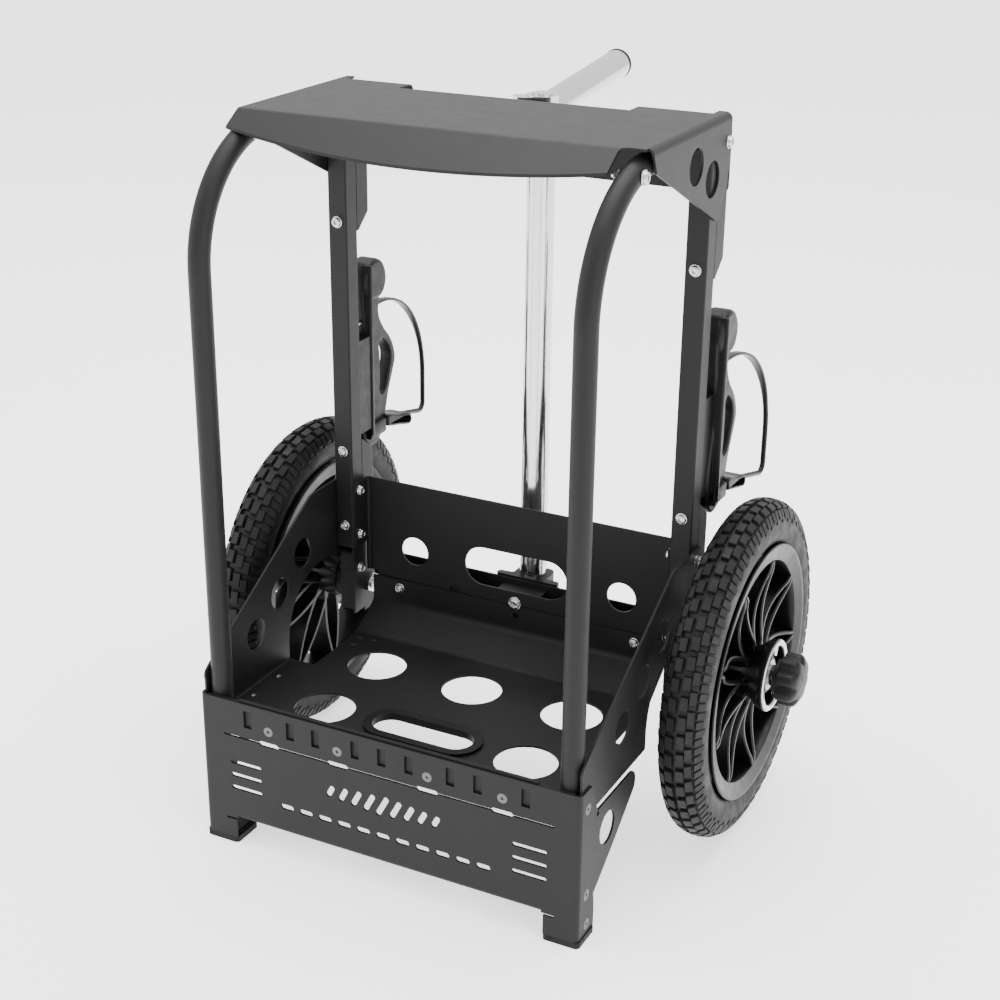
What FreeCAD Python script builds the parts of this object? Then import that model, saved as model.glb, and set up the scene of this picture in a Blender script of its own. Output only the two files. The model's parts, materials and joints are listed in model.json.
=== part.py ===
import FreeCAD, Part
import math
import os

V = FreeCAD.Vector

# ---- Driving dimensions (mm). Y is measured from the front face, Z from the ground. ----
DEPTH = 454.0            # front face to the end cap of the grip
ORIGIN_Y = DEPTH / 2     # the origin sits under the middle of the overall box
SHEET = 2.0              # sheet metal thickness
BEND = 2.5               # inside bend radius

WHEEL_R = 156.0          # tyre outer radius, also the axle height
AXLE_Y = 255.0
TYRE_X = 223.0           # middle plane of each tyre
TYRE_W = 42.0

PANEL_X = 185.6          # outer half width of the front panel
TRAY_X = 183.4           # outer half width of the tray
FLOOR_Z = 119.0          # top of the tray floor
PANEL_TOP = 147.0
PANEL_BOTTOM = 26.5
LEG_W = 32.0
LEG_D = 32.0
PAD_H = 6.0

TUBE_R = 9.5             # 19 mm round front tubes
TUBE_X = 170.5
TUBE_Y = 14.0
TUBE_BEND = 104.0
TUBE_TOP = 631.0         # axis height of the run under the seat

POST = 19.0              # square uprights
POST_X = 171.7
POST_Y = 227.5           # front face
POST_BOTTOM = 202.0
POST_TOP = 640.0
POST_BOLTS = (522.0, 301.0, 225.0)
PANEL_BOLTS = (260.0, 215.0)

CHANNEL_BACK = 268.0     # rear face of the channels behind the uprights
BACK_Y = 252.0           # front face of the back panel
BACK_BOTTOM = 141.0
BACK_TOP = 269.0

SEAT_Z = 646.0           # top of the seat
SEAT_X = 183.5
SEAT_FRONT = 90.0
SEAT_REAR = 254.0
LIP_ANGLE = 33.0

POLE_Y = 291.0
POLE_R = 12.7
POLE_BOTTOM = 156.0
POLE_TOP = 608.0
INNER_R = 10.5
GRIP_R = 13.3
GRIP_TILT = 6.4          # the grip rises towards its end (degrees)
ELBOW_Z = 625.0          # where the grip's axis crosses the pole's
ELBOW_LOW = 612.0
ELBOW_TOP = 640.0

CAGE_X = 175.5
BOLT_R = 2.5             # M5 fasteners
BOLT_CLEAR = 2.7
SCREW_R = 2.0            # M4 countersunk screws

PARTS = {}


def save(name, shape):
    """Keep one named piece."""
    PARTS[name] = shape


# ---- Small helpers ----
def box(x0, x1, y0, y1, z0, z1):
    return Part.makeBox(x1 - x0, y1 - y0, z1 - z0, V(x0, y0, z0))


def rod(point, axis, radius, length):
    return Part.makeCylinder(radius, length, V(*point), V(*axis))


def cone(point, axis, radius_a, radius_b, length):
    return Part.makeCone(radius_a, radius_b, length, V(*point), V(*axis))


def ring(point, axis, outer, inner, length):
    return rod(point, axis, outer, length).cut(rod(point, axis, inner, length))


def fuse(shapes):
    shapes = list(shapes)
    whole = shapes[0].multiFuse(shapes[1:]) if len(shapes) > 1 else shapes[0]
    return whole.removeSplitter()


def mirror(shape):
    return shape.mirror(V(0, 0, 0), V(1, 0, 0))


def both(name, shape):
    """The same piece on the right and, mirrored, on the left."""
    save(name + "_right", shape)
    save(name + "_left", mirror(shape))


def both_in_one(shapes):
    """Right pieces and their mirror images as one group of separate solids."""
    shapes = list(shapes)
    return Part.makeCompound(shapes + [mirror(s) for s in shapes])


def place(plane, u, v, w):
    """A point of a flat outline: (u, v) in the plane, w along its normal."""
    return {"YZ": V(w, u, v), "XZ": V(u, w, v), "XY": V(u, v, w)}[plane]


def normal(plane, length):
    return {"YZ": V(length, 0, 0), "XZ": V(0, length, 0), "XY": V(0, 0, length)}[plane]


def corner_cut(before, point, after, radius):
    """Tangent points and middle of the arc that rounds one corner of an outline."""
    a = (before[0] - point[0], before[1] - point[1])
    b = (after[0] - point[0], after[1] - point[1])
    la, lb = math.hypot(*a), math.hypot(*b)
    a = (a[0] / la, a[1] / la)
    b = (b[0] / lb, b[1] / lb)
    half = math.acos(max(-1.0, min(1.0, a[0] * b[0] + a[1] * b[1]))) / 2
    reach = radius / math.tan(half)
    mid = (a[0] + b[0], a[1] + b[1])
    lm = math.hypot(*mid)
    inset = radius / math.sin(half) - radius
    start = (point[0] + a[0] * reach, point[1] + a[1] * reach)
    end = (point[0] + b[0] * reach, point[1] + b[1] * reach)
    middle = (point[0] + mid[0] / lm * inset, point[1] + mid[1] / lm * inset)
    return start, middle, end


def outline(points, plane, w, depth):
    """A plate with a flat outline; a point (u, v, r) has its corner rounded by r."""
    return flat_face(points, plane, w).extrude(normal(plane, depth))


def flat_face(points, plane, w):
    """The face inside an outline."""
    count = len(points)
    edges = []
    first = None
    last = None
    for i, p in enumerate(points):
        if len(p) > 2 and p[2] > 0:
            s, m, e = corner_cut(points[i - 1], p, points[(i + 1) % count], p[2])
        else:
            s = m = e = (p[0], p[1])
        start = place(plane, s[0], s[1], w)
        end = place(plane, e[0], e[1], w)
        if last is not None and last.distanceToPoint(start) > 1e-6:
            edges.append(Part.makeLine(last, start))
        if s is not e:
            edges.append(Part.Arc(start, place(plane, m[0], m[1], w), end).toShape())
        if first is None:
            first = start
        last = end
    edges.append(Part.makeLine(last, first))
    return Part.Face(Part.Wire(edges))


def strip(path, plane, w, depth, thick=SHEET, radius=BEND):
    """A bent sheet seen edge on: the path is its left-hand skin, thickness to the right."""
    skins = []
    for side in (0.0, thick):
        pts = []
        for i, p in enumerate(path):
            if i == 0 or i == len(path) - 1:
                q = path[1] if i == 0 else path[-2]
                d = (q[0] - p[0], q[1] - p[1]) if i == 0 else (p[0] - q[0], p[1] - q[1])
                n = math.hypot(*d)
                pts.append((p[0] + d[1] / n * side, p[1] - d[0] / n * side, 0.0))
                continue
            a, b = path[i - 1], path[i + 1]
            d1 = (p[0] - a[0], p[1] - a[1])
            d2 = (b[0] - p[0], b[1] - p[1])
            n1, n2 = math.hypot(*d1), math.hypot(*d2)
            r1 = (d1[1] / n1, -d1[0] / n1)
            r2 = (d2[1] / n2, -d2[0] / n2)
            m = (r1[0] + r2[0], r1[1] + r2[1])
            scale = side / (1 + r1[0] * r2[0] + r1[1] * r2[1])
            turn_left = d1[0] * d2[1] - d1[1] * d2[0] > 0
            grow = (side if turn_left else thick - side) - min(0.0, thick)
            pts.append((p[0] + m[0] * scale, p[1] + m[1] * scale, radius + grow))
        skins.append(pts)
    return outline(skins[0] + skins[1][::-1], plane, w, depth)


def slot(plane, u, v, half_length, half_width, w, depth, tilt=0.0):
    """A slot with round ends, as a cutter."""
    c, s = math.cos(math.radians(tilt)), math.sin(math.radians(tilt))
    run = half_length - half_width
    corners = []
    for a, b in ((-1, -1), (1, -1), (1, 1), (-1, 1)):
        x = a * half_length
        y = b * half_width
        corners.append((u + x * c - y * s, v + x * s + y * c, half_width * 0.999))
    if run <= 0:
        return rod(tuple(place(plane, u, v, w)), tuple(normal(plane, 1)), half_width, depth)
    return outline(corners, plane, w, depth)


def hole(plane, u, v, radius, w, depth):
    return rod(tuple(place(plane, u, v, w)), tuple(normal(plane, 1)), radius, depth)


def hex_bar(point, axis, across, length):
    """A hexagonal bar along X or Y."""
    radius = across / math.sqrt(3)
    plane = "YZ" if abs(axis[0]) > 0.5 else "XZ"
    u, v, w = (point[1], point[2], point[0]) if plane == "YZ" else (point[0], point[2], point[1])
    pts = []
    for i in range(6):
        angle = math.radians(60 * i + 30)
        pts.append((u + radius * math.cos(angle), v + radius * math.sin(angle)))
    bar = outline(pts, plane, w, length)
    if sum(axis) < 0:
        bar.translate(normal(plane, -length))
    return bar


def button_head(point, axis, radius, height):
    """A domed socket-cap head whose seat is at the point; the dome faces along the axis."""
    a = V(*axis)
    seat = V(*point)
    head = Part.makeCone(radius, radius * 0.62, height, seat, a)
    socket = Part.makeCylinder(radius * 0.32, height * 0.6, seat + a * (height * 0.5), a)
    return head.cut(socket)


def bolt(point, axis, length, head_r=4.6, head_h=3.0, shank_r=BOLT_R):
    """A button-head bolt: the seat of its head at the point, its shank against the axis."""
    a = V(*axis)
    shank = Part.makeCylinder(shank_r, length, V(*point), a * -1)
    return fuse([shank, button_head(point, axis, head_r, head_h)])


def nut(point, axis, across=8.0, height=4.0, bore=BOLT_R):
    """A hexagonal nut that stands along the axis from the point."""
    body = hex_bar(point, axis, across, height)
    a = V(*axis)
    hole_tool = Part.makeCylinder(bore, height + 2, V(*point) - a, a)
    return body.cut(hole_tool)


# ---- Tray: floor, side panels, front and rear flanges ----
RAMP_FOOT = 217.0        # the floor turns up here
RAMP_TOP = 141.0
REAR_FLANGE_Y = 249.8
REAR_FLANGE_TOP = 167.5
FLOOR_NOTCH_X = 154.0    # inner edge of the wheel notch in the floor
NOTCH_Y = 138.0
ARCH = (200.0, 135.0, 62.0)
SIDE_HOLES = ((85.0, 168.0), (126.5, 192.0), (167.5, 217.0))
BIG_HOLE_R = 15.0
FLOOR_HOLE_R = 28.0
FLOOR_ROWS = (72.0, 165.0)
FLOOR_COLUMN = 101.0
FRONT_SCREWS = (-114.5, -44.0, 44.0, 114.5)
FRONT_SCREW_Z = 125.8
BACK_BOLTS = ((-124.0, 159.0), (124.0, 159.0), (0.0, 170.0))
OPEN_HOLES = (-65.0, 65.0)
OPEN_HOLE_Z = 169.5
RIVETS = ((-172.0, 61.0), (-172.0, 103.0), (172.0, 61.0), (172.0, 103.0))
SMALL_SLOTS = ((145.0, 207.0), (130.0, 208.0), (143.0, 191.0))


def tray():
    under = FLOOR_Z - SHEET
    front = [(4.3, PANEL_TOP + 2.5), (4.3, FLOOR_Z), (NOTCH_Y, FLOOR_Z)]
    floor_front = strip(front, "YZ", -TRAY_X + 5, 2 * TRAY_X - 10, SHEET, BEND)
    rear = [(NOTCH_Y - 1, FLOOR_Z), (RAMP_FOOT, FLOOR_Z), (REAR_FLANGE_Y, RAMP_TOP),
            (REAR_FLANGE_Y, REAR_FLANGE_TOP)]
    floor_rear = strip(rear, "YZ", -FLOOR_NOTCH_X, 2 * FLOOR_NOTCH_X, SHEET, 8.0)
    side = side_panel()
    edge = [(TRAY_X - 12, FLOOR_Z), (TRAY_X - SHEET, FLOOR_Z), (TRAY_X - SHEET, FLOOR_Z + 12)]
    bend = strip(edge, "XZ", 8.0, NOTCH_Y - 8, SHEET, BEND)
    body = fuse([floor_front, floor_rear, side, mirror(side), bend, mirror(bend)])
    cutters = []
    for x in (-FLOOR_COLUMN, 0.0, FLOOR_COLUMN):
        for y in FLOOR_ROWS:
            if x == 0.0 and y == FLOOR_ROWS[0]:
                cutters.append(slot("XY", 0, y, 53, 20.5, under - 2, 12))
            else:
                cutters.append(hole("XY", x, y, FLOOR_HOLE_R, under - 2, 8))
    for x in FRONT_SCREWS:
        cutters.append(hole("XZ", x, FRONT_SCREW_Z, BOLT_CLEAR, 0, 6))
    for x, z in BACK_BOLTS:
        clear = BOLT_CLEAR if x else 7.0
        cutters.append(hole("XZ", x, z, clear, REAR_FLANGE_Y - 2, 6))
    for x, y in RIVETS:
        cutters.append(hole("XY", x, y, 1.6, under - 2, 8))
    y, z = SIDE_SCREWS[0]
    for s in (-1, 1):
        cutters.append(hole("YZ", y, z, BOLT_CLEAR, s * TRAY_X - 5, 10))
        for u, v in SMALL_SLOTS:
            cutters.append(slot("XY", s * u, v, 3.4, 1.6, under - 2, 8))
        cutters.append(box(s * 165 - 19, s * 165 + 19, 0, 5, PANEL_TOP, 160))
    cutters.append(hole("XZ", 2.0, 158.0, 3.0, REAR_FLANGE_Y - 2, 6))
    return body.cut(Part.makeCompound(cutters))


def side_panel():
    top = BACK_TOP + 1
    points = [
        (4.3, FLOOR_Z + 6, 0), (4.3, 166.0, 8.0), (14.0, 172.6, 4.0), (184.5, top, 16.0),
        (250.0, top, 4.0), (250.0, FLOOR_Z + 6, 0),
    ]
    plate = outline(points, "YZ", TRAY_X - SHEET, SHEET)
    cy, cz, r = ARCH
    cutters = [hole("YZ", cy, cz, r, TRAY_X - 5, 10)]
    for y, z in SIDE_HOLES:
        cutters.append(hole("YZ", y, z, BIG_HOLE_R, TRAY_X - 5, 10))
    for z in PANEL_BOLTS:
        cutters.append(hole("YZ", POST_Y + POST / 2, z, BOLT_CLEAR, TRAY_X - 5, 10))
    cutters.append(box(TRAY_X - 5, TRAY_X + 5, cy - r, 270.0, 100.0, cz))
    return plate.cut(Part.makeCompound(cutters))


def floor_slot_trim():
    """Rolled edging around the long floor slot."""
    outer = slot("XY", 0, FLOOR_ROWS[0], 57, 24.5, FLOOR_Z + 0.05, 3.0)
    skirt = slot("XY", 0, FLOOR_ROWS[0], 52.8, 20.3, FLOOR_Z - 4.0, 7.05)
    inner = slot("XY", 0, FLOOR_ROWS[0], 49, 16.5, FLOOR_Z - 6, 12)
    return fuse([outer, skirt]).cut(inner)


# ---- Front panel with its legs and side gussets ----
GUSSET = [
    (0.0, PANEL_BOTTOM, 0), (0.0, PANEL_TOP, 0), (22.0, PANEL_TOP, 3.0), (33.0, 117.0, 3.0),
    (106.0, 117.0, 10.0), (119.0, 104.0, 12.0), (64.0, 62.0, 6.0), (30.0, 38.0, 3.0),
    (32.0, 28.0, 2.0), (LEG_D, PAD_H, 2.0), (0.0, PAD_H, 0),
]
SLOT_X = (-136.0, -91.7, -66.0, -26.3, 0.0, 26.3, 66.0, 91.7, 136.0)
LOUVRE_Z = (85.5, 72.5, 59.5)
SIDE_SCREWS = ((14.0, 129.0), (16.0, 45.0), (18.0, 15.0))


def front_panel():
    face = front_face()
    side = gusset()
    arc_out = ring((PANEL_X - 4.5, 4.5, PAD_H), (0, 0, 1), 4.5, 2.5, PANEL_TOP - PAD_H)
    arc_out = arc_out.common(box(PANEL_X - 4.5, PANEL_X, 0, 4.5, 0, 200))
    body = fuse([face, side, mirror(side), arc_out, mirror(arc_out)])
    cutters = []
    for x in FRONT_SCREWS:
        cutters.append(hole("XZ", x, FRONT_SCREW_Z, 2.2, -2, 8))
        cutters.append(cone((x, -0.01, FRONT_SCREW_Z), (0, 1, 0), 4.65, 2.2, 1.8))
    return body.cut(Part.makeCompound(cutters))


def front_face():
    w = PANEL_X - 4.5
    z0 = PANEL_BOTTOM
    leg = PANEL_X - LEG_W
    points = [
        (-w, PAD_H), (-w, PANEL_TOP), (w, PANEL_TOP), (w, PAD_H),
        (leg, PAD_H), (leg, z0 - 2), (leg + 10, z0 - 2), (leg + 10, z0), (leg - 2, z0),
        (leg - 2, z0 + 8), (2 - leg, z0 + 8), (2 - leg, z0), (-leg - 10, z0), (-leg - 10, z0 - 2),
        (-leg, z0 - 2), (-leg, PAD_H),
    ]
    plate = outline(points, "XZ", 0.0, SHEET)
    hem = [(0.0, z0 + 8), (0.0, z0), (14.0, z0)]
    lower = strip(hem, "YZ", 2 - leg, 2 * leg - 4, -SHEET, BEND)
    cutters = []
    for x in SLOT_X:
        cutters.append(box(x - 4, x + 4, -2, 5, 123.7, 140.3))
    cutters.append(box(-162.0, 162.0, -2, 5, 111.6, 113.2))
    for x in FRONT_SCREWS:
        cutters.append(slot("XZ", x, 112.4, 10.0, 2.4, -2, 8))
    for s in (-1, 1):
        for z in LOUVRE_Z:
            cutters.append(slot("XZ", s * 140.0, z, 16.0, 1.9, -2, 8))
    cutters += emblem_cutters()
    return fuse([plate, lower]).cut(Part.makeCompound(cutters))


def emblem_cutters():
    """A plain pattern of slanted vents above a row of round-ended ones."""
    cutters = []
    for i in range(-4, 5):
        reach = 11.0 - abs(i) * 1.2
        cutters.append(slot("XZ", i * 13.0, 84.0, reach, 2.6, -2, 8, 62.0))
    for i in range(-5, 6):
        cutters.append(slot("XZ", i * 19.5, 54.0, 6.6, 2.6, -2, 8))
    return cutters


def gusset():
    plate = outline(GUSSET, "YZ", PANEL_X - SHEET, SHEET)
    plate = plate.cut(box(PANEL_X - 5, PANEL_X + 5, -1, 4.5, 0, 200))
    cutters = [hole("YZ", 54.5, 89.0, BIG_HOLE_R, PANEL_X - 5, 10)]
    cutters.append(hole("YZ", 34.0, 114.0, 2.3, PANEL_X - 5, 10))
    for y, z in SIDE_SCREWS:
        cutters.append(hole("YZ", y, z, BOLT_CLEAR, PANEL_X - 5, 10))
        cutters.append(cone((PANEL_X + 0.01, y, z), (-1, 0, 0), 5.2, BOLT_CLEAR, 1.8))
    return plate.cut(Part.makeCompound(cutters))


def foot_bracket():
    """Angle inside each leg that the side screws hold and the rubber foot plugs into."""
    x1 = PANEL_X - SHEET - 0.2
    y0 = 4.7
    side = box(x1 - 2.5, x1, y0, LEG_D - 2.0, PAD_H + 1.0, 58.0)
    base = box(x1 - 26.0, x1, y0, LEG_D - 2.0, PAD_H + 1.0, PAD_H + 4.0)
    web = outline([(x1 - 26.0, PAD_H + 3), (x1 - 1, PAD_H + 3), (x1 - 1, PAD_H + 30)], "XZ", y0, 2.5)
    body = fuse([side, base, web])
    cutters = [hole("XY", x1 - 13.0, 16.0, 4.0, 0, 20)]
    for y, z in SIDE_SCREWS[1:]:
        cutters.append(hole("YZ", y, z, BOLT_R, x1 - 6, 10))
    return body.cut(Part.makeCompound(cutters))


def foot_pad():
    """Rubber foot with a peg into the bracket."""
    x1 = PANEL_X
    pts = [(x1 - LEG_W - 1.0, 0.0, 4), (x1 + 1.0, 0.0, 4), (x1 + 1.0, LEG_D + 1, 4),
           (x1 - LEG_W - 1.0, LEG_D + 1, 4)]
    pad = outline(pts, "XY", 0.0, PAD_H - 0.05)
    boss = box(x1 - LEG_W + 2, x1 - 3.0, 3.0, LEG_D - 3, PAD_H - 0.05, PAD_H + 1.0)
    peg = rod((x1 - SHEET - 0.2 - 13.0, 16.0, PAD_H), (0, 0, 1), 3.95, 8.0)
    return fuse([pad, boss, peg])


# ---- Front tubes ----
TUBE_BOLT = (88.0, 626.6)


def tube_solid(radius):
    """The bent run of a front tube: up from the tray corner, back under the seat."""
    zc = TUBE_TOP - TUBE_BEND
    yc = TUBE_Y + TUBE_BEND
    upright = rod((TUBE_X, TUBE_Y, FLOOR_Z + 3.0), (0, 0, 1), radius, zc - FLOOR_Z - 3.0)
    ring_face = Part.Face(Part.Wire(Part.makeCircle(radius, V(TUBE_X, TUBE_Y, zc), V(0, 0, 1))))
    elbow = ring_face.revolve(V(TUBE_X, yc, zc), V(1, 0, 0), -90)
    back = rod((TUBE_X, yc, TUBE_TOP), (0, 1, 0), radius, POST_Y - 0.3 - yc)
    return fuse([upright, elbow, back])


def front_tube():
    body = tube_solid(TUBE_R).cut(tube_solid(TUBE_R - 1.5))
    y, z = SIDE_SCREWS[0]
    cutters = [hole("YZ", y, z, BOLT_R + 0.05, TUBE_X, 14)]
    cutters.append(hole("YZ", *TUBE_BOLT, BOLT_R + 0.05, TUBE_X - 14, 28))
    return body.cut(Part.makeCompound(cutters))


# ---- Uprights and the channels behind them ----
SEAT_BOLT = (255.5, 623.0)
PLATE_BOLT_Z = 600.0
WEB_BOLT = (239.0, 178.0)


def upright():
    x0 = POST_X - POST / 2
    x1 = x0 + POST
    y1 = POST_Y + POST
    outer = outline([(x0, POST_Y, 1.6), (x1, POST_Y, 1.6), (x1, y1, 1.6), (x0, y1, 1.6)],
                    "XY", POST_BOTTOM, POST_TOP - POST_BOTTOM)
    inner = box(x0 + 1.5, x1 - 1.5, POST_Y + 1.5, y1 - 1.5, POST_BOTTOM - 1, POST_TOP + 1)
    cutters = [inner]
    for z in POST_BOLTS:
        cutters.append(hole("XZ", POST_X, z, BOLT_CLEAR, POST_Y - 2, POST + 4))
    for z in CAGE_BOLTS:
        cutters.append(hole("XZ", POST_X, z, BOLT_R, y1 - 3, 6))
    for z in PANEL_BOLTS:
        cutters.append(hole("YZ", POST_Y + POST / 2, z, BOLT_CLEAR, x0 - 2, POST + 4))
    return outer.cut(Part.makeCompound(cutters))


def channel(z0, z1, cham_low, cham_high):
    """A U channel, open to the front, that stands behind an upright."""
    x0 = POST_X - POST / 2 + 0.2
    x1 = POST_X + POST / 2 - 0.2
    y0 = POST_Y + POST + 0.2
    y1 = CHANNEL_BACK
    path = [(x1, y0), (x1, y1), (x0, y1), (x0, y0)]
    body = strip(path, "XY", z0, z1 - z0, -SHEET, 0.8)
    for flag, z, s in ((cham_low, z0, 1), (cham_high, z1, -1)):
        if flag:
            pts = [(y0 - 1, z - s), (y1 + 1, z - s), (y1 + 1, z + s * 17.0), (y0 + 2.5, z - s * 0.01)]
            body = body.cut(outline(pts, "YZ", x0 - 5, POST + 10))
    return body


def upper_channel():
    body = channel(511.0, 638.0, True, False)
    y, z = SEAT_BOLT
    cutters = [hole("XZ", POST_X, PLATE_BOLT_Z, BOLT_CLEAR, CHANNEL_BACK - 4, 8)]
    cutters.append(hole("YZ", y, z, BOLT_CLEAR, POST_X, 20))
    return body.cut(Part.makeCompound(cutters))


def lower_channel():
    """Lower channel, with a web that reaches forward below the upright; it carries the axle."""
    body = channel(128.0, 308.0, False, True)
    x0 = POST_X - POST / 2 + 0.2
    web = box(x0, x0 + SHEET, POST_Y + 0.5, POST_Y + POST + 2, 132.0, POST_BOTTOM - 0.5)
    body = fuse([body, web])
    cutters = [hole("YZ", AXLE_Y, WHEEL_R, AXLE_R + 0.02, x0 - 5, POST + 10)]
    cutters.append(hole("XZ", POST_X, POST_BOLTS[2], BOLT_CLEAR, CHANNEL_BACK - 4, 8))
    cutters.append(hole("YZ", WEB_BOLT[0], WEB_BOLT[1], BOLT_CLEAR, x0 - 2, 8))
    return body.cut(Part.makeCompound(cutters))


def axle_block():
    """Solid block inside the lower channel that grips the stub axle."""
    x0 = POST_X - POST / 2 + SHEET + 0.4
    block = outline([(POST_Y + 2, 134, 3), (CHANNEL_BACK - 2.3, 134, 3), (CHANNEL_BACK - 2.3, 178, 3),
                     (POST_Y + 24, 196, 6), (POST_Y + 2, 196, 3)], "YZ", x0, POST - 2 * SHEET - 0.8)
    cutters = [hole("YZ", AXLE_Y, WHEEL_R, AXLE_R + 0.02, x0 - 5, POST + 10)]
    cutters.append(hole("YZ", WEB_BOLT[0], WEB_BOLT[1], BOLT_R, x0 - 2, 12))
    return block.cut(Part.makeCompound(cutters))


# ---- Back panel and rear cross channel ----
SILL_Y = 276.0           # rear face of the cross channel
SOCKET_BOLT_Z = 163.0
CLAMP_BOLT_X = 24.0


def back_panel():
    x1 = POST_X - POST / 2 - 0.2
    flange = POST_Y + 1.0
    rear = BACK_Y + SHEET
    path = [(x1, flange), (x1, rear), (-x1, rear), (-x1, flange)]
    body = strip(path, "XY", BACK_BOTTOM, BACK_TOP - BACK_BOTTOM, -SHEET, BEND)
    cutters = []
    for s in (-1, 1):
        cutters.append(box(s * x1 - 6, s * x1 + 6, flange - 2, BACK_Y - 1, 100, POST_BOTTOM + 1))
        cutters.append(box(s * x1 - 12, s * x1 + 12, flange - 2, rear + 1, 100, 172))
        cutters.append(hole("XZ", s * 108.3, 200.5, 14.5, BACK_Y - 3, 8))
        for z in PANEL_BOLTS:
            cutters.append(hole("YZ", POST_Y + POST / 2, z, BOLT_CLEAR, s * x1 - 6, 12))
    cutters.append(slot("XZ", 0, 201.0, 53.5, 19.5, BACK_Y - 3, 8))
    for x, z in BACK_BOLTS:
        cutters.append(hole("XZ", x, z, BOLT_CLEAR, BACK_Y - 3, 8))
    cutters.append(hole("XZ", 2.0, 158.0, 3.0, BACK_Y - 3, 8))
    for x in OPEN_HOLES:
        cutters.append(hole("XZ", x, OPEN_HOLE_Z, 5.0, BACK_Y - 3, 8))
    return body.cut(Part.makeCompound(cutters))


def rear_channel():
    """Cross channel behind the back panel, with a bridge at the middle; it carries the pole."""
    x1 = 146.0
    front = BACK_Y + SHEET + 0.2
    path = [(front, 174.0), (front, 146.0), (SILL_Y, 146.0), (SILL_Y, 184.0)]
    body = strip(path, "YZ", -x1, 2 * x1, -SHEET, 1.5)
    bridge = box(-22.5, 22.5, front + 0.5, SILL_Y - 0.5, 176.0, 178.0)
    tie = box(-22.5, 22.5, front, front + SHEET, 172.0, 178.0)
    body = fuse([body, bridge, tie])
    cutters = [hole("XZ", x, z, BOLT_CLEAR, front - 2, 6) for x, z in BACK_BOLTS]
    cutters += [hole("XZ", s * CLAMP_BOLT_X, SOCKET_BOLT_Z, BOLT_CLEAR, SILL_Y - 4, 8) for s in (-1, 1)]
    return body.cut(Part.makeCompound(cutters))


# ---- Seat ----
SEAT_HOLES = ((186.0, 616.0), (223.0, 599.0))


def seat():
    drop = math.tan(math.radians(LIP_ANGLE))
    reach = 45.0
    lip_end = (SEAT_FRONT - reach, SEAT_Z - reach * drop)
    path = [lip_end, (SEAT_FRONT, SEAT_Z), (SEAT_REAR, SEAT_Z), (SEAT_REAR, SEAT_Z - 13)]
    w = SEAT_X - 5
    skin = strip(path, "YZ", -w, 2 * w, SHEET, 4.0)
    skin = skin.cut(box(-107, 107, 229.5, 300, 600, 700))
    inner = strip([(200.0, SEAT_Z), (229.0, SEAT_Z), (229.0, SEAT_Z - 16)], "YZ", -107, 214, SHEET, 4.0)
    skin = fuse([skin, inner])
    skin = skin.cut(lip_cutter())
    for s in (-1, 1):
        skin = skin.cut(box(s * 172 - 12, s * 172 + 12, SEAT_REAR - 6, 270, 600, SEAT_Z - SHEET))
    path = [(SEAT_X - 12, SEAT_Z), (SEAT_X, SEAT_Z), (SEAT_X, SEAT_Z - 90)]
    side = strip(path, "XZ", SEAT_FRONT, 172.0, SHEET, 4.0)
    shape = [(98.0, 660.0, 0), (98.0, 640.0, 0), (105.0, 626.0, 5.0), (240.0, 561.0, 4.0),
             (265.0, 610.0, 8.0), (265.0, 660.0, 0)]
    trim = outline(shape, "YZ", SEAT_X - 20, 30)
    side = side.common(trim)
    cutters = []
    for y, z in SEAT_HOLES:
        cutters.append(hole("YZ", y, z, BIG_HOLE_R, SEAT_X - 6, 12))
    cutters.append(hole("YZ", *SEAT_BOLT, BOLT_CLEAR, SEAT_X - 6, 12))
    side = side.cut(Part.makeCompound(cutters))
    return fuse([skin, side, mirror(side)])


def lip_cutter():
    """Trims the lip to its bowed front edge and opens the notch for the right tube."""
    arc = Part.Arc(V(-SEAT_X - 1, 73.0, 590), V(0, 54.0, 590), V(SEAT_X + 1, 73.0, 590)).toShape()
    a, b = V(-SEAT_X - 1, 73.0, 590), V(SEAT_X + 1, 73.0, 590)
    c, d = V(SEAT_X + 1, 20.0, 590), V(-SEAT_X - 1, 20.0, 590)
    wire = Part.Wire([arc, Part.makeLine(b, c), Part.makeLine(c, d), Part.makeLine(d, a)])
    bow = Part.Face(wire).extrude(V(0, 0, 80))
    notch = outline([(159.0, 20.0, 0), (159.0, 94.0, 8.0), (184.0, 94.0, 8.0), (184.0, 20.0, 0)],
                    "XY", 600, 60)
    return Part.makeCompound([bow, notch])


def handle_plate():
    """Upper cross plate between the channels; it steadies the top of the pole."""
    y0 = CHANNEL_BACK + 0.2
    x1 = POST_X + POST / 2 - 0.4
    plate = outline([(-x1, 578.0, 6), (x1, 578.0, 6), (x1, 634.0, 4), (-x1, 634.0, 4)], "XZ", y0, SHEET)
    top = strip([(y0, 626.0), (y0, 636.0), (y0 - 11, 636.0)], "YZ", -106, 212, SHEET, 1.0)
    cutters = [hole("XZ", s * POST_X, PLATE_BOLT_Z, BOLT_CLEAR, y0 - 2, 6) for s in (-1, 1)]
    cutters += [hole("XZ", s * CLAMP_BOLT_X, PLATE_BOLT_Z, BOLT_CLEAR, y0 - 2, 6) for s in (-1, 1)]
    return fuse([plate, top]).cut(Part.makeCompound(cutters))


# ---- Pole and sliding handle ----
def pole_outer():
    return ring((0, POLE_Y, POLE_BOTTOM), (0, 0, 1), POLE_R, INNER_R + 0.6, POLE_TOP - POLE_BOTTOM)


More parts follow.
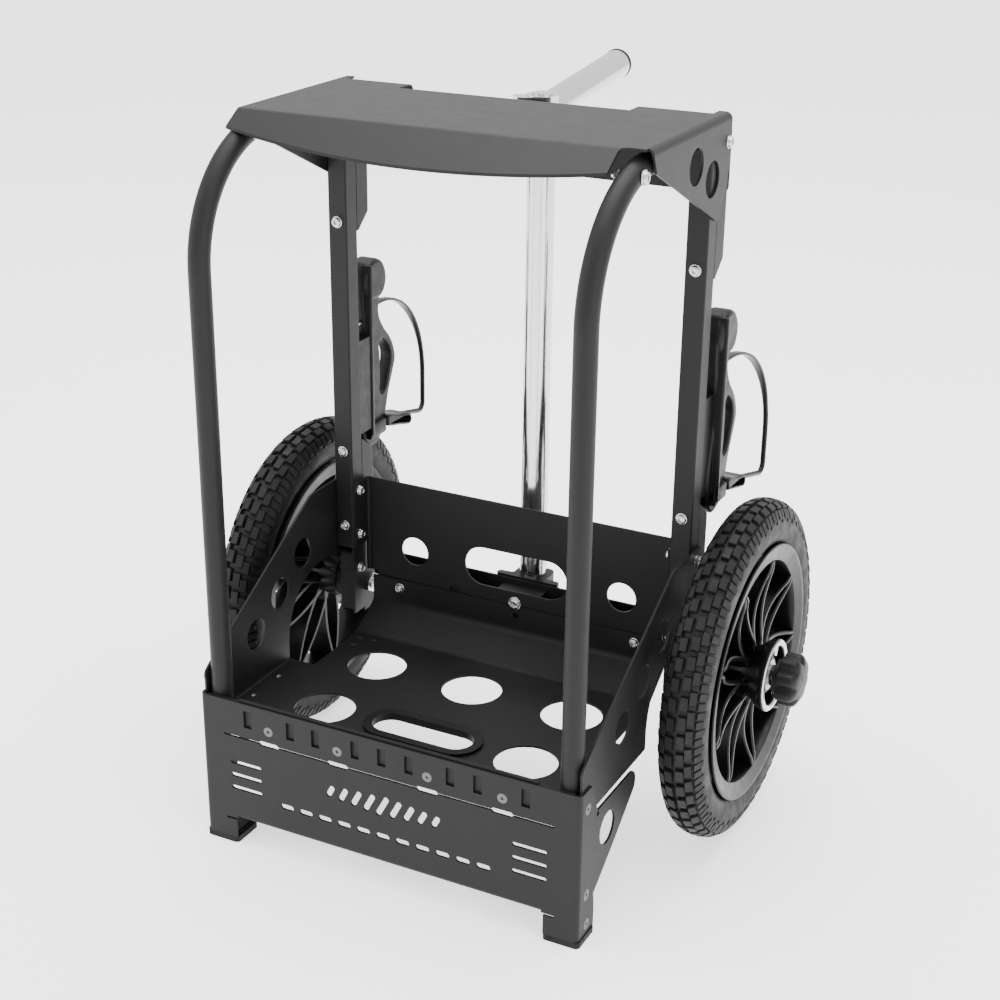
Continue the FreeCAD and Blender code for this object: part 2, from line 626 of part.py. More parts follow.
def pole_holder(y0, z0, height, bolt_z):
    """Block with two ears and a round seat that the pole passes into."""
    block = outline([(-32.0, y0, 2), (32.0, y0, 2), (32.0, y0 + 7, 3), (17.5, y0 + 8, 2),
                     (17.5, POLE_Y + 16, 8), (-17.5, POLE_Y + 16, 8), (-17.5, y0 + 8, 2),
                     (-32.0, y0 + 7, 3)], "XY", z0, height)
    holes = [hole("XZ", s * CLAMP_BOLT_X, bolt_z, BOLT_R, y0 - 2, 20) for s in (-1, 1)]
    return block.cut(Part.makeCompound(holes))


def pole_socket():
    """Blind socket for the foot of the pole."""
    block = pole_holder(SILL_Y + 0.1, 150.0, 36.0, SOCKET_BOLT_Z)
    return block.cut(rod((0, POLE_Y, POLE_BOTTOM - 0.05), (0, 0, 1), POLE_R + 0.03, 60))


def pole_clamp():
    """Block that ties the pole to the upper cross plate."""
    block = pole_holder(CHANNEL_BACK + SHEET + 0.3, 588.0, 20.0, PLATE_BOLT_Z)
    return block.cut(rod((0, POLE_Y, 580), (0, 0, 1), POLE_R + 0.03, 40))


def pole_bush():
    """Plastic guide in the mouth of the outer tube."""
    cap = ring((0, POLE_Y, POLE_TOP + 0.05), (0, 0, 1), POLE_R + 1.6, INNER_R + 0.06, 3.0)
    sleeve = ring((0, POLE_Y, POLE_TOP - 14.0), (0, 0, 1), INNER_R + 0.58, INNER_R + 0.06, 14.1)
    return fuse([cap, sleeve])


def handle_tube():
    z0 = POLE_BOTTOM + 14.0
    return ring((0, POLE_Y, z0), (0, 0, 1), INNER_R, INNER_R - 1.4, ELBOW_LOW - z0)


def handle_guide():
    """Plastic plug on the foot of the sliding tube; it runs in the outer tube."""
    z0 = POLE_BOTTOM + 4.0
    foot = rod((0, POLE_Y, z0), (0, 0, 1), INNER_R + 0.55, 9.9)
    spigot = rod((0, POLE_Y, z0 + 9.9), (0, 0, 1), INNER_R - 1.45, 14.0)
    return fuse([foot, spigot])


def tilted(shape):
    """Turns a shape built along +Y at the elbow's height up to the slope of the grip."""
    shape.rotate(V(0, POLE_Y, ELBOW_Z), V(1, 0, 0), GRIP_TILT)
    return shape


def grip_length():
    """Length along the grip's axis that ends the cap at the full depth."""
    tilt = math.radians(GRIP_TILT)
    return (DEPTH - (GRIP_R + 0.4) * math.sin(tilt) - POLE_Y) / math.cos(tilt)


def handle_elbow():
    """Welded head of the sliding tube: a short barrel, the arm of the grip and a flat tab."""
    body = rod((0, POLE_Y, ELBOW_LOW), (0, 0, 1), GRIP_R + 1.0, ELBOW_TOP - ELBOW_LOW)
    arm = tilted(rod((0, POLE_Y, ELBOW_Z), (0, 1, 0), GRIP_R, 22.0))
    spigot = tilted(rod((0, POLE_Y + 20.0, ELBOW_Z), (0, 1, 0), GRIP_R - 2.6, 30.0))
    socket = rod((0, POLE_Y, ELBOW_LOW - 18.0), (0, 0, 1), INNER_R - 1.45, 19.0)
    tab = outline([(-25.0, POLE_Y - 11.0, 4), (-13.0, POLE_Y - 21.0, 4), (2.0, POLE_Y - 12.0, 0),
                   (-8.0, POLE_Y + 2.0, 0)], "XY", ELBOW_TOP - 3.5, 3.0)
    body = fuse([body, arm, spigot, socket, tab])
    cutters = [rod((0, POLE_Y, ELBOW_TOP - 5.0), (0, 0, 1), 9.0, 20.0)]
    cutters.append(rod((0, POLE_Y, ELBOW_LOW - 20.0), (0, 0, 1), 2.6, 45.0))
    return body.cut(Part.makeCompound(cutters))


def release_button():
    """Thumb button in the top of the elbow with its push rod."""
    cap = rod((0, POLE_Y, ELBOW_TOP - 1.5), (0, 0, 1), 8.94, 3.0)
    stem = rod((0, POLE_Y, ELBOW_TOP - 52.0), (0, 0, 1), 2.5, 51.0)
    return fuse([cap, stem])


def grip():
    start = POLE_Y + 22.3
    length = grip_length() - 22.3 - 3.0
    return tilted(ring((0, start, ELBOW_Z), (0, 1, 0), GRIP_R, GRIP_R - 2.55, length))


def grip_cap():
    end = POLE_Y + grip_length()
    flange = rod((0, end - 2.9, ELBOW_Z), (0, 1, 0), GRIP_R + 0.4, 2.9)
    plug = rod((0, end - 20.0, ELBOW_Z), (0, 1, 0), GRIP_R - 2.6, 17.5)
    return tilted(fuse([flange, plug]))


# ---- Wheels ----
RIM_R = 117.0            # bead seat
RIM_OPEN = 102.0         # inner edge of the rim barrel
HUB_R = 21.0
FLARE_R = 30.0
HUB_IN = 189.0           # inner end of the hub
HUB_OUT = 256.0          # outer end of the hub
KNOB_X = 259.2           # inner face of the knob
AXLE_END = 276.0
AXLE_R = 6.0
SPOKES = 9
SPOKE_FOOT = 9.0         # half the gap between a pair of ribs at the hub
SPOKE_TIP = 2.0
SPOKE_DEEP = 26.0
RIB = 4.0


def axle_at(x, radius, length):
    return rod((x, AXLE_Y, WHEEL_R), (1, 0, 0), radius, length)


def tyre():
    """Tyre carcass: a fat ring with a hollow for the rim's flanges."""
    half = TYRE_W / 2
    pts = [
        (RIM_R + 0.3, -half + 7, 3), (RIM_R + 10, -half + 1.5, 6), (WHEEL_R - 16, -half, 9),
        (WHEEL_R - 2.0, -half + 7, 5), (WHEEL_R, 0, 60), (WHEEL_R - 2.0, half - 7, 5),
        (WHEEL_R - 16, half, 9), (RIM_R + 10, half - 1.5, 6), (RIM_R + 0.3, half - 7, 3),
        (RIM_R + 0.3, half - 12, 1), (RIM_R + 8, half - 14, 3), (RIM_R + 8, -half + 14, 3),
        (RIM_R + 0.3, -half + 12, 1),
    ]
    return turned(pts, TYRE_X)


def turned(points, x):
    """A profile of (radius, offset along X, corner radius) turned about the axle."""
    flat = [(p[1] + x, WHEEL_R + p[0], p[2]) for p in points]
    return flat_face(flat, "XZ", AXLE_Y).revolve(V(x, AXLE_Y, WHEEL_R), V(1, 0, 0), 360)


def rim():
    half = TYRE_W / 2
    barrel = turned([
        (RIM_R, -half + 3, 1), (RIM_R - 3, -half + 1, 1),
        (RIM_OPEN + 3, -half + 1, 2), (RIM_OPEN, -half + 8, 2), (RIM_OPEN, half - 8, 2),
        (RIM_OPEN + 3, half - 1, 2), (RIM_R - 3, half - 1, 1), (RIM_R, half - 3, 1),
    ], TYRE_X)
    hub = axle_at(HUB_IN, HUB_R, HUB_OUT - HUB_IN)
    flare = cone((TYRE_X + 4, AXLE_Y, WHEEL_R), (1, 0, 0), HUB_R - 1, FLARE_R + 2.0, HUB_OUT - TYRE_X - 4)
    pieces = [barrel, hub, flare]
    for i in range(SPOKES):
        pieces.append(spoke(360.0 * i / SPOKES))
    body = fuse(pieces)
    cutters = [axle_at(HUB_IN - 1, 8.0, HUB_OUT - HUB_IN + 2)]
    cutters.append(axle_at(HUB_IN - 1, 14.02, 13.0))
    cutters.append(axle_at(HUB_OUT - 12.0, 14.02, 13.0))
    return body.cut(Part.makeCompound(cutters))


def spoke(angle):
    """A pair of ribs that stand apart on the hub and meet at the barrel."""
    ribs = []
    for side in (-1, 1):
        foot = (side * SPOKE_FOOT, HUB_R - 4.0)
        tip = (side * SPOKE_TIP, RIM_OPEN + 1.0)
        lean = math.degrees(math.atan2(tip[0] - foot[0], tip[1] - foot[1]))
        length = math.hypot(tip[0] - foot[0], tip[1] - foot[1])
        rib = Part.makeBox(SPOKE_DEEP, RIB, length,
                           V(TYRE_X - SPOKE_DEEP / 2 + 1.0, AXLE_Y + foot[0] - RIB / 2, WHEEL_R + foot[1]))
        rib.rotate(V(0, AXLE_Y + foot[0], WHEEL_R + foot[1]), V(1, 0, 0), -lean)
        ribs.append(rib)
    whole = fuse(ribs)
    whole.rotate(V(0, AXLE_Y, WHEEL_R), V(1, 0, 0), angle)
    return whole


def bearing(x):
    """A sealed ball bearing as one ring: outer radius 14, bore 6."""
    body = axle_at(x, 14.0, 9.0)
    groove = axle_at(x - 0.01, 12.0, 0.6).cut(axle_at(x - 0.02, 8.5, 0.7))
    return body.cut(axle_at(x - 1, AXLE_R + 0.05, 11.0)).cut(groove)


def bearings():
    return Part.makeCompound([bearing(HUB_IN + 3.0), bearing(HUB_OUT - 12.0)])


def hub_ring():
    """Bright ring on the outer end of the hub."""
    return axle_at(HUB_OUT + 0.05, FLARE_R + 2.5, 2.0).cut(axle_at(HUB_OUT, FLARE_R - 2.5, 3.0))


def axle():
    """Stub axle: clamped in the channel, plain through the wheel, threaded for the knob."""
    x0 = POST_X - POST / 2 - 6.0
    body = axle_at(x0, AXLE_R, AXLE_END - x0)
    shoulder = axle_at(POST_X + POST / 2 + 0.1, 10.0, HUB_IN + 2.9 - POST_X - POST / 2 - 0.2)
    return fuse([body, shoulder])


def axle_nut():
    x0 = POST_X - POST / 2 - 0.1
    body = hex_bar((x0 - 4.5, AXLE_Y, WHEEL_R), (1, 0, 0), 18.0, 4.5)
    return body.cut(axle_at(x0 - 6, AXLE_R, 8.0))


def axle_spacer():
    """Tube between the outer bearing and the knob."""
    x0 = HUB_OUT - 2.9
    return axle_at(x0, 9.5, KNOB_X - x0 - 0.1).cut(axle_at(x0 - 1, AXLE_R + 0.05, 9.0))


def knob():
    """Fluted hand knob that holds the wheel on its axle."""
    boss = axle_at(KNOB_X, 16.0, 6.0)
    body = axle_at(KNOB_X + 5.0, 24.0, 20.0)
    cutters = []
    for i in range(8):
        a = math.radians(45.0 * i + 22.5)
        y = AXLE_Y + 28.0 * math.cos(a)
        z = WHEEL_R + 28.0 * math.sin(a)
        cutters.append(rod((KNOB_X + 4, y, z), (1, 0, 0), 7.0, 24.0))
    cutters.append(axle_at(KNOB_X - 1, AXLE_R + 0.05, AXLE_END - KNOB_X + 1.5))
    return fuse([boss, body]).cut(Part.makeCompound(cutters))


# ---- Bottle cages ----
CAGE_Y = CHANNEL_BACK + 0.2
CAGE_BOLTS = (324.0, 418.0)
WIRE_R = 2.5
WIRE_TOP = 427.0         # the wire enters the neck of the cage here
WIRE_TAIL = 271.0
WIRE_ARC = 100.0
ARC_Y = 304.0            # the arc down the front starts here
WIRE_BEND = 8.0
BEND_Z = 295.5
WIRE_SLOPE = 14.0        # the lowest run rises back towards the foot (degrees)
TOE_OUT = 3.5            # the bail points a little outwards (degrees)


def cage_body():
    """Plastic cage: mounting spine, round head, bulged side arm and a guide for the foot."""
    y0 = CAGE_Y
    x0, x1 = CAGE_X - 13, CAGE_X + 13
    spine = outline([(x0, y0, 2), (x1, y0, 2), (x1, y0 + 5, 2), (x0, y0 + 5, 2)], "XY", 304.0, 168.0)
    side = [
        (y0, 302.0, 2), (294.0, 302.0, 4), (299.5, 317.0, 20), (327.0, 369.0, 16), (292.0, 413.0, 22),
        (299.0, 438.0, 12), (298.0, 474.0, 10), (y0, 474.0, 6),
    ]
    blade = outline(side, "YZ", CAGE_X - 6.0, 12.0)
    head = outline([(y0, 440.0, 3), (294.0, 434.0, 8), (306.0, 448.0, 12), (303.0, 466.0, 10),
                    (292.0, 475.0, 8), (y0, 475.0, 6)], "YZ", CAGE_X - 11.0, 22.0)
    guide = box(CAGE_X - 11, CAGE_X + 11, y0, 298.0, 300.0, 314.5)
    window = [(295.0, 339.0, 2), (302.0, 340.5, 3), (317.0, 370.0, 10), (305.0, 392.0, 6), (295.0, 394.0, 3)]
    cutters = [outline(window, "YZ", CAGE_X - 20, 40)]
    channel_of_wire = outline([(CAGE_X - 2.8, WIRE_TAIL - 0.5), (CAGE_X + 2.8, WIRE_TAIL - 0.5),
                               (CAGE_X + 6.0, 330.0), (CAGE_X - 2.8, 330.0)], "XY", WIRE_TOP - 2.8, 5.6)
    cutters.append(channel_of_wire)
    cutters.append(box(CAGE_X - 8.1, CAGE_X + 8.1, y0 + 6.9, 400.0, 302.9, 311.1))
    for z in CAGE_BOLTS:
        cutters.append(hole("XZ", POST_X, z, BOLT_R + 0.05, y0 - 2, 12))
        cutters.append(hole("XZ", POST_X, z, 5.2, y0 + 5.0, 60))
    return fuse([spine, blade, head, guide]).cut(Part.makeCompound(cutters))


def cage_spacer():
    """Spacer block between the upright and the cage."""
    y0 = POST_Y + POST + 0.1
    block = outline([(POST_X - 8, y0, 1), (POST_X + 8, y0, 1), (POST_X + 8, CAGE_Y - 0.1, 1),
                     (POST_X - 8, CAGE_Y - 0.1, 1)], "XY", 313.0, 92.0)
    return block.cut(Part.makeCompound([hole("XZ", POST_X, z, BOLT_CLEAR, y0 - 2, 30) for z in CAGE_BOLTS]))


def cage_foot():
    """Sliding foot that the bottle stands on."""
    runner = box(CAGE_X - 8, CAGE_X + 8, CAGE_Y + 7, 306.0, 303.0, 311.0)
    shoe = outline([(300.5, 303.5, 2), (344.0, 292.5, 2), (347.0, 295.0, 2), (347.0, 302.5, 3),
                    (300.5, 315.0, 2)], "YZ", CAGE_X - 12, 24.0)
    return fuse([runner, shoe]).cut(wire(WIRE_R + 0.02))


def cage_bail():
    """Wire bail: from the foot, up in front of the bottle, and back to the neck of the cage."""
    return wire(WIRE_R)


def wire(radius):
    """The bail's path as a round wire of the given radius."""
    slope = math.radians(WIRE_SLOPE)
    front = ARC_Y + WIRE_ARC
    bend_y = front - WIRE_BEND
    low = V(CAGE_X, bend_y - WIRE_BEND * math.sin(slope), BEND_Z - WIRE_BEND * math.cos(slope))
    run = rod((low.x, low.y, low.z), (0, -math.cos(slope), math.sin(slope)), radius, 60.0)
    bend = arc_of_wire(bend_y, BEND_Z, WIRE_BEND, radius, -90.0 - WIRE_SLOPE, 90.0 + WIRE_SLOPE)
    rise = rod((CAGE_X, front, BEND_Z), (0, 0, 1), radius, WIRE_TOP - WIRE_ARC - BEND_Z)
    arc = arc_of_wire(ARC_Y, WIRE_TOP - WIRE_ARC, WIRE_ARC, radius, 0.0, 90.0)
    tail = rod((CAGE_X, WIRE_TAIL, WIRE_TOP), (0, 1, 0), radius, ARC_Y - WIRE_TAIL)
    whole = fuse([run, bend, rise, arc, tail])
    whole.rotate(V(CAGE_X, WIRE_TAIL, WIRE_TOP), V(0, 0, 1), -TOE_OUT)
    return whole


def arc_of_wire(yc, zc, radius, r, start, angle):
    """A bend of wire about (yc, zc) from the start angle, 0 being towards +Y."""
    a = math.radians(start)
    centre = V(CAGE_X, yc + radius * math.cos(a), zc + radius * math.sin(a))
    tangent = V(0, -math.sin(a), math.cos(a))
    face = Part.Face(Part.Wire(Part.makeCircle(r, centre, tangent)))
    return face.revolve(V(CAGE_X, yc, zc), V(1, 0, 0), angle)


# ---- Fasteners ----
def front_screws():
    """Countersunk screws through the front panel and the tray's flange, with their nuts."""
    items = []
    for x in FRONT_SCREWS:
        z = FRONT_SCREW_Z
        head = cone((x, 0.0, z), (0, 1, 0), 4.6, SCREW_R, 1.8)
        shank = rod((x, 0.5, z), (0, 1, 0), SCREW_R, 7.5)
        socket = hex_bar((x, -0.5, z), (0, 1, 0), 2.6, 1.6)
        items.append(fuse([head, shank]).cut(socket))
        items.append(nut((x, 4.4, z), (0, 1, 0), 6.4, 3.2, SCREW_R))
    return Part.makeCompound(items)


def side_screws():
    items = []
    for y, z in SIDE_SCREWS:
        length = 12.0 if z > 100 else 7.0
        head = cone((PANEL_X, y, z), (-1, 0, 0), 5.15, BOLT_R, 1.8)
        shank = rod((PANEL_X - 0.5, y, z), (-1, 0, 0), BOLT_R, length)
        socket = hex_bar((PANEL_X - 1.1, y, z), (1, 0, 0), 2.6, 1.6)
        items.append(fuse([head, shank]).cut(socket))
    return both_in_one(items)


def upright_bolts():
    """Bolts and nuts through each upright; the lowest also holds the lower channel."""
    items = []
    for z, reach in zip(POST_BOLTS, (POST, POST, CHANNEL_BACK - POST_Y)):
        items.append(bolt((POST_X, POST_Y, z), (0, -1, 0), reach + 6.0))
        items.append(nut((POST_X, POST_Y + reach + 0.05, z), (0, 1, 0)))
    return items


def panel_bolts():
    """Cross bolts through the uprights, and the bolt from the inside into each axle block."""
    x0 = POST_X - POST / 2 - 0.2 - SHEET
    y = POST_Y + POST / 2
    items = [bolt((x0 + SHEET + 0.4, WEB_BOLT[0], WEB_BOLT[1]), (-1, 0, 0), 11.0)]
    for z in PANEL_BOLTS:
        items.append(bolt((x0, y, z), (-1, 0, 0), TRAY_X + 5 - x0))
        items.append(nut((TRAY_X + 0.05, y, z), (1, 0, 0)))
    return items


def seat_bolts():
    """Bolt from the seat's side flange into the channel, with its nut."""
    inside = POST_X + POST / 2 - 0.2 - SHEET
    y, z = SEAT_BOLT
    return [bolt((SEAT_X, y, z), (1, 0, 0), 10.0), nut((inside - 0.05, y, z), (-1, 0, 0))]


def tube_bolts():
    """Bolt across the bend of each front tube, with its nut."""
    y, z = TUBE_BOLT
    return [bolt((TUBE_X + TUBE_R, y, z), (1, 0, 0), 25.0), nut((TUBE_X - TUBE_R - 0.05, y, z), (-1, 0, 0))]


def plate_bolts():
    """Bolts that hold the cross plate and the two pole holders."""
    x = CLAMP_BOLT_X
    y = CHANNEL_BACK + SHEET + 0.2
    items = [bolt((POST_X, y, PLATE_BOLT_Z), (0, 1, 0), 9.0)]
    items.append(nut((POST_X, CHANNEL_BACK - SHEET - 0.05, PLATE_BOLT_Z), (0, -1, 0)))
    items.append(bolt((x, y - SHEET, PLATE_BOLT_Z), (0, -1, 0), 9.0))
    items.append(bolt((x, SILL_Y - SHEET, SOCKET_BOLT_Z), (0, -1, 0), 9.0))
    return items


def cage_bolts():
    reach = CAGE_Y + 5 - POST_Y - POST + 1.5
    return [bolt((POST_X, CAGE_Y + 5, z), (0, 1, 0), reach) for z in CAGE_BOLTS]


def tray_bolts():
    """Bolts and nuts through the tray's rear flange, the back panel and the cross channel."""
    items = []
    for x, z in BACK_BOLTS:
        y = REAR_FLANGE_Y if x else BACK_Y
        items.append(bolt((x, y, z), (0, -1, 0), 262.0 - y, 4.6 if x else 5.6, 3.2))
        items.append(nut((x, BACK_Y + 2 * SHEET + 0.25, z), (0, 1, 0)))
    return Part.makeCompound(items)


def rivets():
    items = []
    for x, y in RIVETS:
        head = cone((x, y, FLOOR_Z), (0, 0, 1), 3.4, 1.8, 1.3)
        shank = rod((x, y, FLOOR_Z - 3.5), (0, 0, 1), 1.58, 4.0)
        items.append(fuse([head, shank]))
    return Part.makeCompound(items)


def build():
    save("tray", tray())
    save("floor_slot_trim", floor_slot_trim())
    save("front_panel", front_panel())
    save("foot_brackets", both_in_one([foot_bracket()]))
    both("foot_pad", foot_pad())
    both("front_tube", front_tube())
    both("upright", upright())
    both("upper_channel", upper_channel())
    both("lower_channel", lower_channel())
    save("axle_blocks", both_in_one([axle_block()]))
    save("back_panel", back_panel())
    save("rear_channel", rear_channel())
    save("seat", seat())
    save("handle_plate", handle_plate())
    save("pole_outer", pole_outer())
    save("pole_socket", pole_socket())
    save("pole_clamp", pole_clamp())
    save("pole_bush", pole_bush())
    save("handle_tube", handle_tube())
    save("handle_guide", handle_guide())
    save("handle_elbow", handle_elbow())
    save("release_button", release_button())
    save("grip", grip())
    save("grip_cap", grip_cap())
    both("tyre", tyre())
    both("rim", rim())
    both("bearings", bearings())
    both("hub_ring", hub_ring())
    both("axle", axle())
    save("axle_nuts", both_in_one([axle_nut()]))
    save("axle_spacers", both_in_one([axle_spacer()]))
    both("knob", knob())
    both("cage_body", cage_body())
    save("cage_spacers", both_in_one([cage_spacer()]))
    both("cage_foot", cage_foot())
    both("cage_bail", cage_bail())
    save("front_screws", front_screws())
    save("side_screws", side_screws())
    save("upright_bolts", both_in_one(upright_bolts()))
    save("panel_bolts", both_in_one(panel_bolts()))
    save("seat_bolts", both_in_one(seat_bolts()))
    save("tube_bolts", both_in_one(tube_bolts()))
    save("plate_bolts", both_in_one(plate_bolts()))
    save("cage_bolts", both_in_one(cage_bolts()))
    save("tray_bolts", tray_bolts())
    save("rivets", rivets())


def export():
    os.makedirs("parts", exist_ok=True)
    for name, shape in sorted(PARTS.items()):
        shape.translate(V(0, -ORIGIN_Y, 0))
        shape.exportStep("parts/%s.step" % name)


build()
export()
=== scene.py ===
import json
import math

import bpy
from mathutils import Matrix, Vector


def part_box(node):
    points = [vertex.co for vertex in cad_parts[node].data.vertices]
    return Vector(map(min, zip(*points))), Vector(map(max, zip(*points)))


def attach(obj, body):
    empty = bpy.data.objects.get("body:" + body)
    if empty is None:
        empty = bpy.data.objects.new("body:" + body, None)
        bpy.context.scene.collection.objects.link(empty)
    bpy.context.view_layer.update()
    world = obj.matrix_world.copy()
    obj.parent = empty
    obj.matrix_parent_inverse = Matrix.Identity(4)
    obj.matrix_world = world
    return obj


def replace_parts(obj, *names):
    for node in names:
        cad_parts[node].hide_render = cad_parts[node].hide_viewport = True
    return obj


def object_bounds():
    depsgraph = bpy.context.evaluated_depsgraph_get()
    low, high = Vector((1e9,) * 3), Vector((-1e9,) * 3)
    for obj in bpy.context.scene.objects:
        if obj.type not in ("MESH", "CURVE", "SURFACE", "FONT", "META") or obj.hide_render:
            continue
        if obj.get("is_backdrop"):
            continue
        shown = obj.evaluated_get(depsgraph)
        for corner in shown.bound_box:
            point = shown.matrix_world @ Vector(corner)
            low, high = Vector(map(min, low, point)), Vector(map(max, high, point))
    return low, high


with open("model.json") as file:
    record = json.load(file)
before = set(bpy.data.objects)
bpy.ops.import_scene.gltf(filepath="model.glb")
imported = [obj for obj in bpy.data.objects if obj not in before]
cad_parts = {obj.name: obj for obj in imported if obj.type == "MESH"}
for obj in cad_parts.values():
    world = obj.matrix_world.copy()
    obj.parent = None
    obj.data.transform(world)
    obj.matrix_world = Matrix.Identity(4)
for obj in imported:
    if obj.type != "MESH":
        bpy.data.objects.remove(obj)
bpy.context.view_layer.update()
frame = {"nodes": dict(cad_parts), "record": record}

MM = 0.001

# ---- Places read from the frame, in metres ----
tyre_low, tyre_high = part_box("tyre_right")
AXLE_Y = (tyre_low.y + tyre_high.y) / 2
AXLE_Z = (tyre_low.z + tyre_high.z) / 2
TYRE_R = (tyre_high.z - tyre_low.z) / 2
TYRE_X = (tyre_low.x + tyre_high.x) / 2
TYRE_HALF = (tyre_high.x - tyre_low.x) / 2
HUB_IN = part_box("rim_right")[0].x
HUB_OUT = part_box("rim_right")[1].x
KNOB_LOW, KNOB_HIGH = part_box("knob_right")
CAGE_LOW, CAGE_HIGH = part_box("cage_body_right")
CAGE_X = (CAGE_LOW.x + CAGE_HIGH.x) / 2
FOOT_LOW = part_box("cage_foot_right")[0]
BAIL_LOW, BAIL_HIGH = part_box("cage_bail_right")
POST_LOW, POST_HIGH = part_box("upright_right")
SEAT_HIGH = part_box("seat")[1]
TRAY_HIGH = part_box("tray")[1]
FRONT_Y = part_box("front_panel")[0].y


# ---- Node helpers ----
class Nodes:
    """A material being built, with short names for the few nodes used here."""

    def __init__(self, name):
        self.material = bpy.data.materials.new(name)
        self.material.use_nodes = True
        self.tree = self.material.node_tree
        self.shader = self.tree.nodes["Principled BSDF"]
        self.coords = self.add("ShaderNodeTexCoord").outputs["Object"]

    def add(self, kind, **values):
        node = self.tree.nodes.new(kind)
        for key, value in values.items():
            setattr(node, key, value)
        return node

    def link(self, a, b):
        self.tree.links.new(a, b)

    def noise(self, scale, detail=3.0, stretch=(1, 1, 1)):
        mapping = self.add("ShaderNodeMapping")
        mapping.inputs["Scale"].default_value = stretch
        self.link(self.coords, mapping.inputs["Vector"])
        node = self.add("ShaderNodeTexNoise")
        node.inputs["Scale"].default_value = scale
        node.inputs["Detail"].default_value = detail
        self.link(mapping.outputs["Vector"], node.inputs["Vector"])
        return node.outputs["Fac"]

    def ramp(self, fac, low, high, start=0.3, end=0.7):
        node = self.add("ShaderNodeValToRGB")
        node.color_ramp.elements[0].position = start
        node.color_ramp.elements[1].position = end
        node.color_ramp.elements[0].color = (*low, 1)
        node.color_ramp.elements[1].color = (*high, 1)
        self.link(fac, node.inputs["Fac"])
        return node.outputs["Color"]

    def colour(self, fac, low, high, start=0.3, end=0.7):
        self.link(self.ramp(fac, low, high, start, end), self.shader.inputs["Base Color"])

    def rough(self, fac, low, high):
        node = self.add("ShaderNodeMapRange")
        node.inputs["From Min"].default_value = 0.3
        node.inputs["From Max"].default_value = 0.7
        node.inputs["To Min"].default_value = low
        node.inputs["To Max"].default_value = high
        self.link(fac, node.inputs["Value"])
        self.link(node.outputs["Result"], self.shader.inputs["Roughness"])

    def bump(self, fac, strength, distance, edge=None):
        node = self.add("ShaderNodeBump")
        node.inputs["Strength"].default_value = strength
        node.inputs["Distance"].default_value = distance
        self.link(fac, node.inputs["Height"])
        if edge:
            bevel = self.add("ShaderNodeBevel", samples=4)
            bevel.inputs["Radius"].default_value = edge
            self.link(bevel.outputs["Normal"], node.inputs["Normal"])
        self.link(node.outputs["Normal"], self.shader.inputs["Normal"])

    def set(self, **values):
        for key, value in values.items():
            self.shader.inputs[key.replace("_", " ")].default_value = value


def powder(name, low, high, rough=0.5):
    """Satin powder coat: orange-peel grain over a faint cloudiness."""
    n = Nodes(name)
    n.colour(n.noise(9.0, 4.0), low, high)
    n.rough(n.noise(60.0, 4.0), rough - 0.015, rough + 0.02)
    n.bump(n.noise(1400.0, 2.0), 0.22, 0.00008, 0.0006)
    n.set(Specular_IOR_Level=0.2)
    return n.material


def metal(name, low, high, rough, stretch=(1, 1, 1), scale=300.0, grain=0.05):
    n = Nodes(name)
    fac = n.noise(scale, 4.0, stretch)
    n.colour(fac, low, high)
    n.rough(fac, rough * 0.75, rough * 1.3)
    n.bump(fac, grain, 0.00005, 0.0004)
    n.set(Metallic=1.0)
    return n.material


def moulded(name, low, high, rough, grain_scale=900.0, grain=0.15, edge=0.0008):
    n = Nodes(name)
    n.colour(n.noise(30.0, 4.0), low, high)
    n.rough(n.noise(90.0, 3.0), rough * 0.85, rough * 1.2)
    n.bump(n.noise(grain_scale, 3.0), grain, 0.00012, edge)
    n.set(Specular_IOR_Level=0.2)
    return n.material


M = {
    "powder_coat": powder("powder_coat", (0.0075, 0.0077, 0.008), (0.0081, 0.0083, 0.0086)),
    # The seat takes the frame's powder coat painted a little lighter: painted light from above on the seat's
    # top.
    "seat_coat": powder("seat_coat", (0.0092, 0.0094, 0.0097), (0.0098, 0.010, 0.0103), 0.47),
    "pole_metal": metal("pole_metal", (0.60, 0.61, 0.62), (0.70, 0.70, 0.71), 0.17, (1, 1, 0.02), 420.0),
    "zinc": metal("zinc", (0.50, 0.50, 0.51), (0.60, 0.60, 0.61), 0.22, (1, 1, 1), 40.0, 0.02),
    "screw_grey": metal("screw_grey", (0.10, 0.10, 0.105), (0.14, 0.14, 0.145), 0.42, (1, 1, 1), 60.0, 0.02),
    "bearing_steel": metal("bearing_steel", (0.4, 0.4, 0.42), (0.55, 0.55, 0.57), 0.3),
    "tyre_rubber": moulded("tyre_rubber", (0.006, 0.006, 0.0063), (0.011, 0.011, 0.0113), 0.55, 700.0, 0.3),
    "rim_plastic": moulded("rim_plastic", (0.002, 0.002, 0.0022), (0.003, 0.003, 0.0033), 0.32, 300.0, 0.04),
    "black_plastic": moulded("black_plastic", (0.003, 0.003, 0.0033), (0.0045, 0.0045, 0.0048), 0.42),
    "foot_rubber": moulded("foot_rubber", (0.003, 0.003, 0.003), (0.005, 0.005, 0.005), 0.6),
    "wire_black": moulded("wire_black", (0.002, 0.002, 0.002), (0.003, 0.003, 0.003), 0.30, 300.0, 0.03),
}


def paint(obj, material):
    obj.data.materials.clear()
    obj.data.materials.append(material)


for entry in frame["record"]["subparts"]:
    if entry["material_slot"] in M:
        paint(frame["nodes"][entry["node"]], M[entry["material_slot"]])


